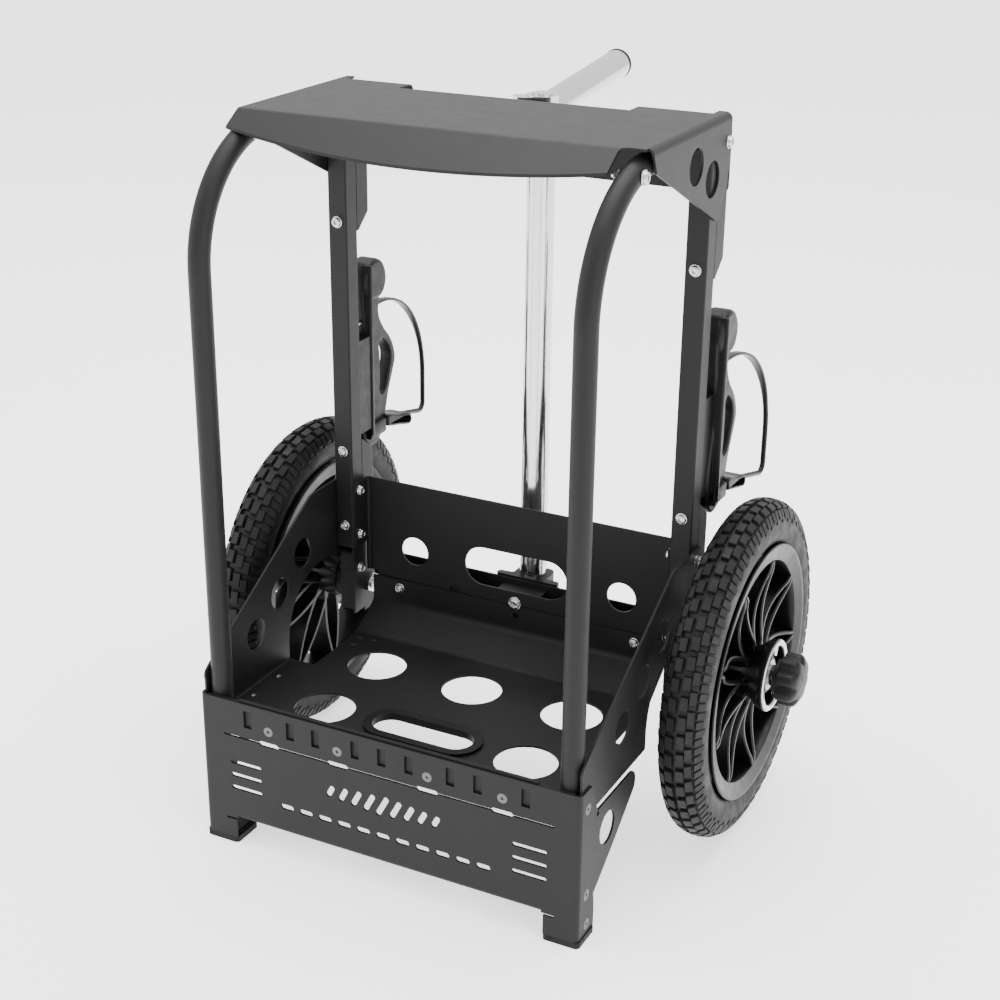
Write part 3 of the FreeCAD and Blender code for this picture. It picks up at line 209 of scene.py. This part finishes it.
# ---- Mesh helpers ----
def piece(name, verts, faces, body, slot, smooth):
    """A new mesh piece that rides on a body, takes a slot's finish and is sharp above an angle."""
    mesh = bpy.data.meshes.new(name)
    mesh.from_pydata([tuple(v) for v in verts], [], faces)
    mesh.validate()
    mesh.update()
    for poly in mesh.polygons:
        poly.use_smooth = True
    mesh.set_sharp_from_angle(angle=math.radians(smooth))
    obj = bpy.data.objects.new(name, mesh)
    bpy.context.scene.collection.objects.link(obj)
    paint(obj, M[slot])
    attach(obj, body)
    return obj


class Mesh:
    """Vertices and faces gathered from several shapes."""

    def __init__(self):
        self.verts = []
        self.faces = []

    def rings(self, rings, closed=False):
        """Joins equal rings of points into a skin, with flat caps at its ends."""
        base = len(self.verts)
        n = len(rings[0])
        for ring in rings:
            self.verts += ring
        count = len(rings)
        for i in range(count if closed else count - 1):
            j = (i + 1) % count
            for k in range(n):
                m = (k + 1) % n
                a, b = base + i * n + k, base + i * n + m
                c, d = base + j * n + m, base + j * n + k
                self.faces.append((a, b, c, d))
        if not closed:
            self.faces.append(tuple(base + k for k in range(n))[::-1])
            self.faces.append(tuple(base + (count - 1) * n + k for k in range(n)))

    def prism(self, low, high):
        """A block between two four-cornered faces."""
        base = len(self.verts)
        self.verts += low + high
        n = len(low)
        self.faces.append(tuple(base + k for k in range(n))[::-1])
        self.faces.append(tuple(base + n + k for k in range(n)))
        for k in range(n):
            m = (k + 1) % n
            self.faces.append((base + k, base + m, base + n + m, base + n + k))

    def mirrored(self):
        """The same shape on the left."""
        other = Mesh()
        other.verts = [Vector((-v.x, v.y, v.z)) for v in map(Vector, self.verts)]
        other.faces = [f[::-1] for f in self.faces]
        return other

    def make(self, name, body, slot, smooth):
        return piece(name, self.verts, self.faces, body, slot, smooth)


def wheel_point(radius, angle, x):
    """A point at a radius and angle about the right axle, x from the tyre's middle plane."""
    return Vector((TYRE_X + x, AXLE_Y + radius * math.sin(angle), AXLE_Z + radius * math.cos(angle)))


def lathe(mesh, profile, steps):
    """Turns a closed profile of (radius, x) about the right axle."""
    angles = [2 * math.pi * i / steps for i in range(steps)]
    mesh.rings([[wheel_point(r, angle, x) for r, x in profile] for angle in angles], closed=True)


def both_sides(mesh, name, body, slot, node, smooth):
    """The right piece and its mirror image, each standing for its CAD node."""
    for side, shape in (("right", mesh), ("left", mesh.mirrored())):
        target = body % side if "%s" in body else body
        obj = shape.make("%s_%s" % (name, side), target, slot, smooth)
        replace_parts(obj, "%s_%s" % (node, side))


# ---- Tyres ----
BEAD_R = TYRE_R - 39 * MM
TREAD_H = 3.6 * MM
SECTION_R = 20.5 * MM
BELLY_R = TYRE_R - TREAD_H - SECTION_R
CROWN_POWER = 0.82
WALL_POWER = 0.9
WALL_SINK = 0.8 * MM
LUG_DRAFT = 0.86
ROWS = 56


def belly(phi, lift=0.0):
    """Radius and x on the tyre's round section; phi is 0 at the crown."""
    c, s = math.cos(phi), math.sin(phi)
    r = BELLY_R + (SECTION_R + lift) * math.copysign(abs(c) ** CROWN_POWER, c)
    x = (TYRE_HALF - WALL_SINK + lift * 0.25) * math.copysign(abs(s) ** WALL_POWER, s)
    return r, x


def carcass(mesh):
    """The tyre under its tread, with fine ridges round the side walls."""
    profile = []
    steps = 44
    wall_start = math.radians(78)
    for i in range(steps + 1):
        phi = math.radians(-150 + 300 * i / steps)
        ridge = 0.5 * MM if i % 4 == 0 and abs(phi) > wall_start else 0.0
        r, x = belly(phi, ridge)
        profile.append((max(r, BEAD_R + 0.3 * MM), x))
    inner = [(BEAD_R + 0.4 * MM, 10 * MM), (BEAD_R + 6 * MM, 6 * MM), (BEAD_R + 6 * MM, -6 * MM),
             (BEAD_R + 0.4 * MM, -10 * MM)]
    lathe(mesh, profile + inner, 168)


def lug(mesh, angle, half_turn, phi_a, phi_b, height):
    """One tread block between two places on the section, with drafted walls."""
    low = []
    high = []
    middle = (phi_a + phi_b) / 2
    for da, phi in ((-1, phi_a), (1, phi_a), (1, phi_b), (-1, phi_b)):
        r, x = belly(phi, -WALL_SINK)
        low.append(wheel_point(r, angle + da * half_turn, x))
        r, x = belly(middle + (phi - middle) * LUG_DRAFT, height)
        high.append(wheel_point(r, angle + da * half_turn * LUG_DRAFT, x))
    mesh.prism(low, high)


def tread(mesh):
    """Staggered Z-shaped blocks on the crown and short bars on both shoulders."""
    pitch = 2 * math.pi / ROWS
    for row in range(ROWS):
        base = row * pitch
        for column in (-1, 1):
            stagger = 0.25 * pitch * column
            centre = math.radians(column * 22.5)
            half = math.radians(20.0)
            for part in (-1, 1):
                a, b = sorted((centre, centre + part * half))
                lug(mesh, base + stagger + part * 0.16 * pitch, pitch * 0.37, a, b, TREAD_H)
        for side in (-1, 1):
            for half_row, reach in ((0.0, 72.0), (0.5, 80.0)):
                a, b = sorted((side * math.radians(46.5), side * math.radians(reach)))
                lug(mesh, base + half_row * pitch, pitch * 0.205, a, b, TREAD_H * 0.85)


tyre = Mesh()
carcass(tyre)
tread(tyre)
both_sides(tyre, "knobby_tyre", "wheel_%s", "tyre_rubber", "tyre", 35.0)


# ---- Rims: barrel, hub and paired blades ----
OPEN_R = 101.0 * MM
BLADES = 9


def rim_barrel(mesh):
    """The ring that holds the tyre's beads, the same on both sides."""
    w = TYRE_HALF
    side = [
        (111 * MM, 7 * MM), (112 * MM, w - 8 * MM), (116 * MM, w - 4.0 * MM), (117.6 * MM, w - 1.0 * MM),
        (117.0 * MM, w + 0.2 * MM), (115.0 * MM, w + 0.4 * MM), (113.0 * MM, w - 0.4 * MM),
        (104 * MM, w - 2.6 * MM), (102 * MM, w - 3.4 * MM), (101 * MM, w - 5.6 * MM),
        (100.4 * MM, w - 10 * MM), (99.4 * MM, 0.0),
    ]
    other = [(r, -x) for r, x in side[::-1]][1:]
    lathe(mesh, side + other, 128)


def rim_hub(mesh):
    """The waisted hub, with a seat for the bright ring on its outer end."""
    a, b = HUB_IN - TYRE_X, HUB_OUT - TYRE_X
    lathe(mesh, [
        (9 * MM, a), (19.5 * MM, a), (21 * MM, a + 1.5 * MM), (21 * MM, a + 12 * MM), (19 * MM, -12 * MM),
        (18.5 * MM, 6 * MM), (24 * MM, 17 * MM), (31 * MM, 25 * MM), (33 * MM, b - 3 * MM),
        (33 * MM, b - 0.4 * MM), (32.5 * MM, b), (27.2 * MM, b), (27.0 * MM, b - 9 * MM),
        (17 * MM, b - 9 * MM), (16.5 * MM, b - 4 * MM), (9 * MM, b - 4 * MM),
    ], 72)


def blade(mesh, tip_angle, side):
    """A bowed rib: its foot stands off the pair's middle and its tip meets the other at the barrel."""
    rings = []
    steps = 18
    root = 19 * MM
    bow = 5.5
    for i in range(steps + 1):
        t = i / steps
        r = root + (OPEN_R + 0.5 * MM - root) * t
        offset = side * (9.0 * (1 - t) ** 1.1 + 1.6 * t + bow * math.sin(math.pi * t)) * MM
        angle = tip_angle + math.asin(offset / r)
        half = (2.0 - 0.5 * t) * MM
        front = (18 - 6.5 * math.sin(math.pi * min(1.0, t * 1.1))) * MM
        back = -(14 - 2 * t) * MM
        d = half / r
        e = (half + 0.5 * MM) / r
        rings.append([
            wheel_point(r, angle - d, back), wheel_point(r, angle + d, back),
            wheel_point(r, angle + d, front - 2.2 * MM), wheel_point(r, angle + e, front - 1.4 * MM),
            wheel_point(r, angle + d * 0.6, front), wheel_point(r, angle - d * 0.6, front),
            wheel_point(r, angle - e, front - 1.4 * MM), wheel_point(r, angle - d, front - 2.2 * MM),
        ])
    mesh.rings(rings)


def web(mesh, angle):
    """The plate that ties a pair of ribs where they meet the barrel."""
    low = []
    high = []
    for r, offset in ((72 * MM, 7.5 * MM), (101 * MM, 2.0 * MM), (101 * MM, -2.0 * MM), (72 * MM, -7.5 * MM)):
        low.append(wheel_point(r, angle + offset / r, -2 * MM))
        high.append(wheel_point(r, angle + offset / r, 4 * MM))
    mesh.prism(low, high)


rim = Mesh()
rim_barrel(rim)
rim_hub(rim)
for k in range(BLADES):
    tip = 2 * math.pi * (k + 0.35) / BLADES
    blade(rim, tip, 1)
    blade(rim, tip, -1)
    web(rim, tip)
both_sides(rim, "wheel_rim", "wheel_%s", "rim_plastic", "rim", 35.0)

# The bright ring in the hub, and the three clips inside it.
collar = Mesh()
end = HUB_OUT - TYRE_X
lathe(collar, [(27.6 * MM, end + 0.1 * MM), (32.4 * MM, end + 0.1 * MM), (32.6 * MM, end + 0.9 * MM),
               (31.6 * MM, end + 1.9 * MM), (28.6 * MM, end + 1.9 * MM), (27.6 * MM, end + 1.2 * MM)], 72)
for clip in (0.5, 2.7, 4.7):
    low = []
    high = []
    for r, da in ((18 * MM, 0.20), (27.2 * MM, 0.13), (27.2 * MM, -0.13), (18 * MM, -0.20)):
        low.append(wheel_point(r, clip + da, end - 8.6 * MM))
        high.append(wheel_point(r, clip + da, end - 2.0 * MM))
    collar.prism(low, high)
both_sides(collar, "hub_collar", "wheel_%s", "zinc", "hub_ring", 30.0)


# ---- Knobs ----
FLUTES = 8
FLUTE_DEPTH = 4.4 * MM


def knob_shape():
    """A fluted grip on a plain collar, domed at its outer end."""
    mesh = Mesh()
    x0 = KNOB_LOW.x - TYRE_X
    x1 = KNOB_HIGH.x - TYRE_X
    outer = (KNOB_HIGH.z - KNOB_LOW.z) / 2
    stations = [
        (x0, 15.0, 0), (x0 + 0.3 * MM, 16.0, 0), (x0 + 5 * MM, 16.0, 0), (x0 + 5.2 * MM, 22.0, 0.9),
        (x0 + 6.2 * MM, 24.0, 1.0), (x0 + 16 * MM, 24.0, 1.0), (x0 + 19.5 * MM, 23.4, 1.0),
        (x1 - 3.4 * MM, 21.4, 0.8), (x1 - 1.6 * MM, 18.0, 0.4), (x1 - 0.5 * MM, 12.0, 0.1), (x1, 4.0, 0),
    ]
    rings = []
    steps = 96
    for x, r, flute in stations:
        ring = []
        for i in range(steps):
            angle = 2 * math.pi * i / steps
            wave = (0.5 + 0.5 * math.cos(FLUTES * angle)) ** 2.2
            radius = min(r * MM, outer) - FLUTE_DEPTH * flute * wave
            ring.append(wheel_point(radius, angle, x))
        rings.append(ring)
    mesh.rings(rings)
    return mesh


both_sides(knob_shape(), "hand_knob", "knob_%s", "black_plastic", "knob", 32.0)


# ---- Bottle cages ----
def spline_plate(name, shapes, x_middle, half_width, edge):
    """A plate in the YZ plane cut to smooth closed outlines, with rounded edges."""
    curve = bpy.data.curves.new(name, "CURVE")
    curve.dimensions = "2D"
    curve.fill_mode = "BOTH"
    curve.extrude = half_width - edge
    curve.bevel_depth = edge
    curve.bevel_resolution = 3
    curve.offset = -edge
    curve.resolution_u = 10
    for points in shapes:
        spline = curve.splines.new("BEZIER")
        spline.bezier_points.add(len(points) - 1)
        for p, (y, z) in zip(spline.bezier_points, points):
            p.co = (y, z, 0)
            p.handle_left_type = "AUTO"
            p.handle_right_type = "AUTO"
        spline.use_cyclic_u = True
    holder = bpy.data.objects.new(name + "_curve", curve)
    bpy.context.scene.collection.objects.link(holder)
    bpy.context.view_layer.update()
    graph = bpy.context.evaluated_depsgraph_get()
    mesh = bpy.data.meshes.new_from_object(holder.evaluated_get(graph))
    bpy.data.objects.remove(holder)
    shape = Mesh()
    shape.verts = [Vector((x_middle + v.co.z, v.co.x, v.co.y)) for v in mesh.vertices]
    shape.faces = [tuple(p.vertices) for p in mesh.polygons]
    return shape


def joined(*shapes):
    """Several shapes as one."""
    whole = Mesh()
    for s in shapes:
        base = len(whole.verts)
        whole.verts += s.verts
        whole.faces += [tuple(base + i for i in f) for f in s.faces]
    return whole


def yz(points, y0, z0):
    """Outline points given in millimetres from a corner."""
    return [(y0 + y * MM, z0 + z * MM) for y, z in points]


def rounded_bar(x0, x1, y0, y1, z0, z1, edge):
    """An upright bar with rounded long edges."""
    mesh = Mesh()
    rings = []
    for z, inset in ((z0, edge), (z0 + edge, 0), (z1 - edge, 0), (z1, edge)):
        ring = []
        for cx, cy, start in ((x1, y1, 0), (x0, y1, 90), (x0, y0, 180), (x1, y0, 270)):
            sx = 1 if cx == x1 else -1
            sy = 1 if cy == y1 else -1
            for k in range(5):
                a = math.radians(start + 22.5 * k)
                px = cx - sx * (edge + inset * 0.5) + edge * math.cos(a)
                py = cy - sy * (edge + inset * 0.5) + edge * math.sin(a)
                ring.append(Vector((px, py, z)))
        rings.append(ring)
    mesh.rings(rings)
    return mesh


cage_y, cage_z = CAGE_LOW.y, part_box("cage_spacers")[0].z - 17 * MM
arm = yz([(0.6, -1.6), (24, -2), (28.5, 3), (35, 17), (43.5, 42), (52.5, 61), (56.4, 72), (55.2, 80),
          (48, 94), (34.5, 109), (27, 122), (26.3, 131), (29, 142), (33.5, 150), (35.6, 157), (33.5, 168),
          (24, 177.5), (9, 178.8), (0.8, 176), (0.8, 90)], cage_y, cage_z)
window = yz([(27, 44), (27, 57), (27, 70), (27, 83), (27, 95), (30.5, 97), (38, 93), (45.6, 82), (46.8, 74),
             (43.6, 63), (35, 45), (31, 42.6)], cage_y, cage_z)
wing = spline_plate("wing", [arm, window], CAGE_X, 6.5 * MM, 2.2 * MM)
head = yz([(0.8, 145), (16, 140), (29, 143), (34, 150), (35.9, 158), (33.6, 168), (24, 177.5), (9, 178.8),
           (0.8, 174)], cage_y, cage_z)
bulb = spline_plate("bulb", [head], CAGE_X, 10.6 * MM, 4.5 * MM)
spine = rounded_bar(CAGE_LOW.x, CAGE_HIGH.x, cage_y, cage_y + 5 * MM,
                    cage_z + 8 * MM, cage_z + 176 * MM, 1.6 * MM)
guide = rounded_bar(CAGE_X - 11 * MM, CAGE_X + 11 * MM, cage_y, cage_y + 29.8 * MM,
                    CAGE_LOW.z, CAGE_LOW.z + 14 * MM, 1.6 * MM)
both_sides(joined(wing, bulb, spine, guide), "bottle_cage", "frame", "black_plastic", "cage_body", 40.0)

toe = yz([(25.3, 12), (25.3, 21.3), (27.5, 22.3), (49, 16.3), (70, 10.6), (71.6, 8), (71.6, 3), (69, 0.4),
          (65, 0.8), (47, 5.6), (28, 10.6)], FOOT_LOW.y, FOOT_LOW.z)
shoe = spline_plate("shoe", [toe], CAGE_X, 11.9 * MM, 2.4 * MM)
runner = rounded_bar(CAGE_X - 8 * MM, CAGE_X + 8 * MM, FOOT_LOW.y, FOOT_LOW.y + 30 * MM,
                     FOOT_LOW.z + 10.6 * MM, FOOT_LOW.z + 18.4 * MM, 1.0 * MM)
both_sides(joined(shoe, runner), "cage_shoe", "cage_slide_%s", "black_plastic", "cage_foot", 40.0)


def bail_shape():
    """Flat strap at the neck that narrows to a round rod on its way down to the foot."""
    arc_r, bend_r, wire_r = 100 * MM, 8 * MM, 2.5 * MM
    slope = math.radians(14.0)
    toe_out = math.tan(math.radians(3.5))
    drop, tail = 131.5 * MM, 58 * MM
    top = BAIL_HIGH.z - wire_r
    front = BAIL_HIGH.y - wire_r
    bend_z = top - drop
    path = [(BAIL_LOW.y, top), (BAIL_LOW.y + 16 * MM, top)]
    for k in range(25):
        a = math.radians(90 - 3.75 * k)
        path.append((front - arc_r + arc_r * math.cos(a), top - arc_r + arc_r * math.sin(a)))
    for k in range(9):
        a = -(math.pi / 2 + slope) * k / 8
        path.append((front - bend_r + bend_r * math.cos(a), bend_z + bend_r * math.sin(a)))
    last_y, last_z = path[-1]
    path.append((last_y - tail * math.cos(slope), last_z + tail * math.sin(slope)))
    mesh = Mesh()
    rings = []
    for i, (y, z) in enumerate(path):
        ya, za = path[max(i - 1, 0)]
        yb, zb = path[min(i + 1, len(path) - 1)]
        along = Vector((0, yb - ya, zb - za)).normalized()
        out = Vector((0, -along.z, along.y))
        strap = max(0.0, min(1.0, (22 - i) / 12))
        wide = wire_r + strap * 1.9 * MM
        thick = wire_r - strap * 1.1 * MM
        ring = []
        for k in range(20):
            a = 2 * math.pi * k / 20
            power = 1.0 - 0.55 * strap
            c = math.copysign(abs(math.cos(a)) ** power, math.cos(a))
            s = math.copysign(abs(math.sin(a)) ** power, math.sin(a))
            middle = Vector((CAGE_X + (y - BAIL_LOW.y) * toe_out + c * wide, y, z))
            ring.append(middle + out * (s * thick))
        rings.append(ring)
    mesh.rings(rings)
    return mesh


both_sides(bail_shape(), "cage_wire", "cage_slide_%s", "wire_black", "cage_bail", 60.0)


# ---- Bolts and nuts ----
def turned_part(mesh, point, axis, profile, hexagon=None):
    """Turns (radius, height) about an axis; a hexagon names the levels drawn six-sided."""
    axis = Vector(axis).normalized()
    side = axis.orthogonal().normalized()
    other = axis.cross(side)
    rings = []
    for level, (radius, height) in enumerate(profile):
        ring = []
        for k in range(36):
            a = 2 * math.pi * k / 36
            r = radius
            if hexagon and level in hexagon:
                r = radius / math.cos((a + math.pi / 6) % (math.pi / 3) - math.pi / 6)
            ring.append(point + (side * math.cos(a) + other * math.sin(a)) * r * MM + axis * height * MM)
        rings.append(ring)
    mesh.rings(rings)


def bolt_head(mesh, point, axis, length, size):
    """A flanged button head with a hexagon socket, on its shank."""
    s = size
    turned_part(mesh, point, axis, [
        (2.5, -length), (2.5, -0.1), (5.3 * s, 0.0), (5.4 * s, 0.5), (5.2 * s, 1.0), (4.5 * s, 1.1),
        (4.4 * s, 2.4), (3.9 * s, 3.3), (3.1 * s, 3.7), (2.2 * s, 3.8), (1.9 * s, 3.5), (1.7 * s, 1.6),
        (0.4, 1.5),
    ], hexagon=(10, 11))


def hex_nut(mesh, point, axis):
    """A flanged nut with the bolt's end showing."""
    tail = 2.0
    turned_part(mesh, point, axis, [
        (4.4, 0.0), (4.7, 0.1), (4.7, 0.7), (4.0, 0.8), (4.0, 3.6), (3.7, 4.2), (2.9, 4.3), (2.5, 4.1),
        (2.4, 4.0 + tail), (1.9, 4.5 + tail), (0.4, 4.5 + tail),
    ], hexagon=(3, 4))


def place(x, y, z):
    """A point in millimetres from the front panel's face and the ground."""
    return Vector((x * MM, FRONT_Y + y * MM, z * MM))


POST_X = (POST_LOW.x + POST_HIGH.x) / 2 / MM
POST_Y = (POST_LOW.y - FRONT_Y) / MM
POST_W = (POST_HIGH.y - POST_LOW.y) / MM
CHANNEL_BACK = (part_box("lower_channel_right")[1].y - FRONT_Y) / MM
IN_X, OUT_X = POST_LOW.x / MM, POST_HIGH.x / MM
TRAY_X, SEAT_X = TRAY_HIGH.x / MM, SEAT_HIGH.x / MM
PANEL_Y = (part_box("back_panel")[1].y - FRONT_Y) / MM
FLANGE_Y = PANEL_Y - 4.2
SILL_Y = (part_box("rear_channel")[1].y - FRONT_Y) / MM
CAGE_BACK = (CAGE_LOW.y - FRONT_Y) / MM
BACKWARD, FORWARD, OUT, INWARD = (0, 1, 0), (0, -1, 0), (1, 0, 0), (-1, 0, 0)


def fasteners(name, node, heads, nuts, mirrored=True):
    """Bolts as (point, axis, length, size) and nuts as (point, axis) of one CAD node."""
    mesh = Mesh()
    for point, axis, length, size in heads:
        bolt_head(mesh, place(*point), axis, length, size)
    for point, axis in nuts:
        hex_nut(mesh, place(*point), axis)
    if mirrored:
        mesh = joined(mesh, mesh.mirrored())
    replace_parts(mesh.make(name, "frame", "zinc", 28.0), node)


POST_MIDDLE_Y = POST_Y + POST_W / 2
POST_BOLT_ZS, CHANNEL_BOLT_Z, FLANGE_BOLT_ZS, CAGE_SCREW_ZS = (522, 301), 225, (260, 215), (324, 418)
GUSSET_Y, GUSSET_Z = 239, 178
SEAT_BOLT_Y, SEAT_BOLT_Z = 255.5, 623
TUBE_OUT_X, TUBE_IN_X, TUBE_BOLT_Y, TUBE_BOLT_Z = 180, 161, 88, 626.6
PLATE_BOLT_X, PLATE_BOLT_Z, SILL_BOLT_Z = 24, 600, 163
TRAY_BOLT_X, TRAY_BOLT_Z, POLE_BOLT_Z = 124, 159, 170

fasteners("post_bolts", "upright_bolts",
          [((POST_X, POST_Y, z), FORWARD, 19, 1.0) for z in POST_BOLT_ZS]
          + [((POST_X, POST_Y, CHANNEL_BOLT_Z), FORWARD, 40, 1.0)],
          [((POST_X, POST_Y + POST_W, z), BACKWARD) for z in POST_BOLT_ZS]
          + [((POST_X, CHANNEL_BACK, CHANNEL_BOLT_Z), BACKWARD)])
fasteners("flange_bolts", "panel_bolts",
          [((IN_X - 2.2, POST_MIDDLE_Y, z), INWARD, 23, 1.0) for z in FLANGE_BOLT_ZS]
          + [((IN_X + 0.2, GUSSET_Y, GUSSET_Z), INWARD, 9, 1.0)],
          [((TRAY_X, POST_MIDDLE_Y, z), OUT) for z in FLANGE_BOLT_ZS])
fasteners("seat_side_bolts", "seat_bolts",
          [((SEAT_X, SEAT_BOLT_Y, SEAT_BOLT_Z), OUT, 7, 1.0)],
          [((OUT_X - 2.3, SEAT_BOLT_Y, SEAT_BOLT_Z), INWARD)])
fasteners("tube_cross_bolts", "tube_bolts",
          [((TUBE_OUT_X, TUBE_BOLT_Y, TUBE_BOLT_Z), OUT, 20, 1.15)],
          [((TUBE_IN_X, TUBE_BOLT_Y, TUBE_BOLT_Z), INWARD)])
fasteners("cross_plate_bolts", "plate_bolts",
          [((POST_X, CHANNEL_BACK + 2.2, PLATE_BOLT_Z), BACKWARD, 6, 1.0),
           ((PLATE_BOLT_X, CHANNEL_BACK + 0.2, PLATE_BOLT_Z), FORWARD, 8, 1.0),
           ((PLATE_BOLT_X, SILL_Y - 2, SILL_BOLT_Z), FORWARD, 8, 1.0)],
          [((POST_X, CHANNEL_BACK - 2, PLATE_BOLT_Z), FORWARD)])
fasteners("cage_screws", "cage_bolts",
          [((POST_X, CAGE_BACK + 5, z), BACKWARD, 28, 0.9) for z in CAGE_SCREW_ZS], [])
fasteners("tray_cross_bolts", "tray_bolts",
          [((x, FLANGE_Y, TRAY_BOLT_Z), FORWARD, 8, 1.0) for x in (-TRAY_BOLT_X, TRAY_BOLT_X)]
          + [((0, PANEL_Y - 2, POLE_BOLT_Z), FORWARD, 6, 1.25)],
          [((x, PANEL_Y + 2.2, TRAY_BOLT_Z), BACKWARD) for x in (-TRAY_BOLT_X, TRAY_BOLT_X)]
          + [((0, PANEL_Y + 2.2, POLE_BOLT_Z), BACKWARD)],
          mirrored=False)


# ---- Stage, light and camera ----
def stage_floor():
    """A wide pale floor that glows a little, as a seamless backdrop does."""
    mesh = bpy.data.meshes.new("floor")
    s = 12.0
    mesh.from_pydata([(-s, -s, 0), (s, -s, 0), (s, s, 0), (-s, s, 0)], [], [(0, 1, 2, 3)])
    floor = bpy.data.objects.new("floor", mesh)
    bpy.context.scene.collection.objects.link(floor)
    n = Nodes("stage_floor")
    n.colour(n.noise(2.0), (0.93, 0.93, 0.93), (0.95, 0.95, 0.95))
    n.set(Roughness=0.9, Emission_Color=(1, 1, 1, 1), Emission_Strength=1.2)
    paint(floor, n.material)
    floor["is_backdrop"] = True


def soft_light(name, place_at, target, size, power):
    light = bpy.data.lights.new(name, "AREA")
    light.shape = "RECTANGLE"
    light.size, light.size_y = size
    light.energy = power
    obj = bpy.data.objects.new(name, light)
    bpy.context.scene.collection.objects.link(obj)
    obj.location = place_at
    obj.rotation_euler = (Vector(target) - Vector(place_at)).to_track_quat("-Z", "Y").to_euler()


def studio():
    """An even white surround with one large light above and one on each side."""
    world = bpy.data.worlds.new("studio")
    bpy.context.scene.world = world
    world.use_nodes = True
    background = world.node_tree.nodes["Background"]
    background.inputs["Color"].default_value = (1.0, 1.0, 1.0, 1.0)
    background.inputs["Strength"].default_value = 1.6
    soft_light("top", (0.0, 0.3, 2.6), (0.0, 0.0, 0.3), (2.4, 2.4), 100.0)
    soft_light("left", (-2.2, -1.6, 1.6), (0.0, 0.0, 0.3), (1.6, 2.2), 24.0)
    soft_light("right", (2.4, -1.0, 1.2), (0.0, 0.0, 0.3), (1.2, 2.0), 22.0)


def camera():
    """Looks from the front right, a little above the seat."""
    data = bpy.data.cameras.new("camera")
    data.sensor_width = 36.0
    data.lens = 65.8
    data.shift_x, data.shift_y = 0.05, 0.04
    obj = bpy.data.objects.new("camera", data)
    bpy.context.scene.collection.objects.link(obj)
    azimuth, elevation, distance = math.radians(28.3), math.radians(23.8), 1.546
    target = place(15.3, 94.2, 300.0)
    back = Vector((math.sin(azimuth) * math.cos(elevation), -math.cos(azimuth) * math.cos(elevation),
                   math.sin(elevation)))
    obj.location = target + back * distance
    obj.rotation_mode = "QUATERNION"
    obj.rotation_quaternion = (-back).to_track_quat("-Z", "Y")
    data.clip_end = 50.0
    bpy.context.scene.camera = obj


stage_floor()
studio()
camera()

low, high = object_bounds()
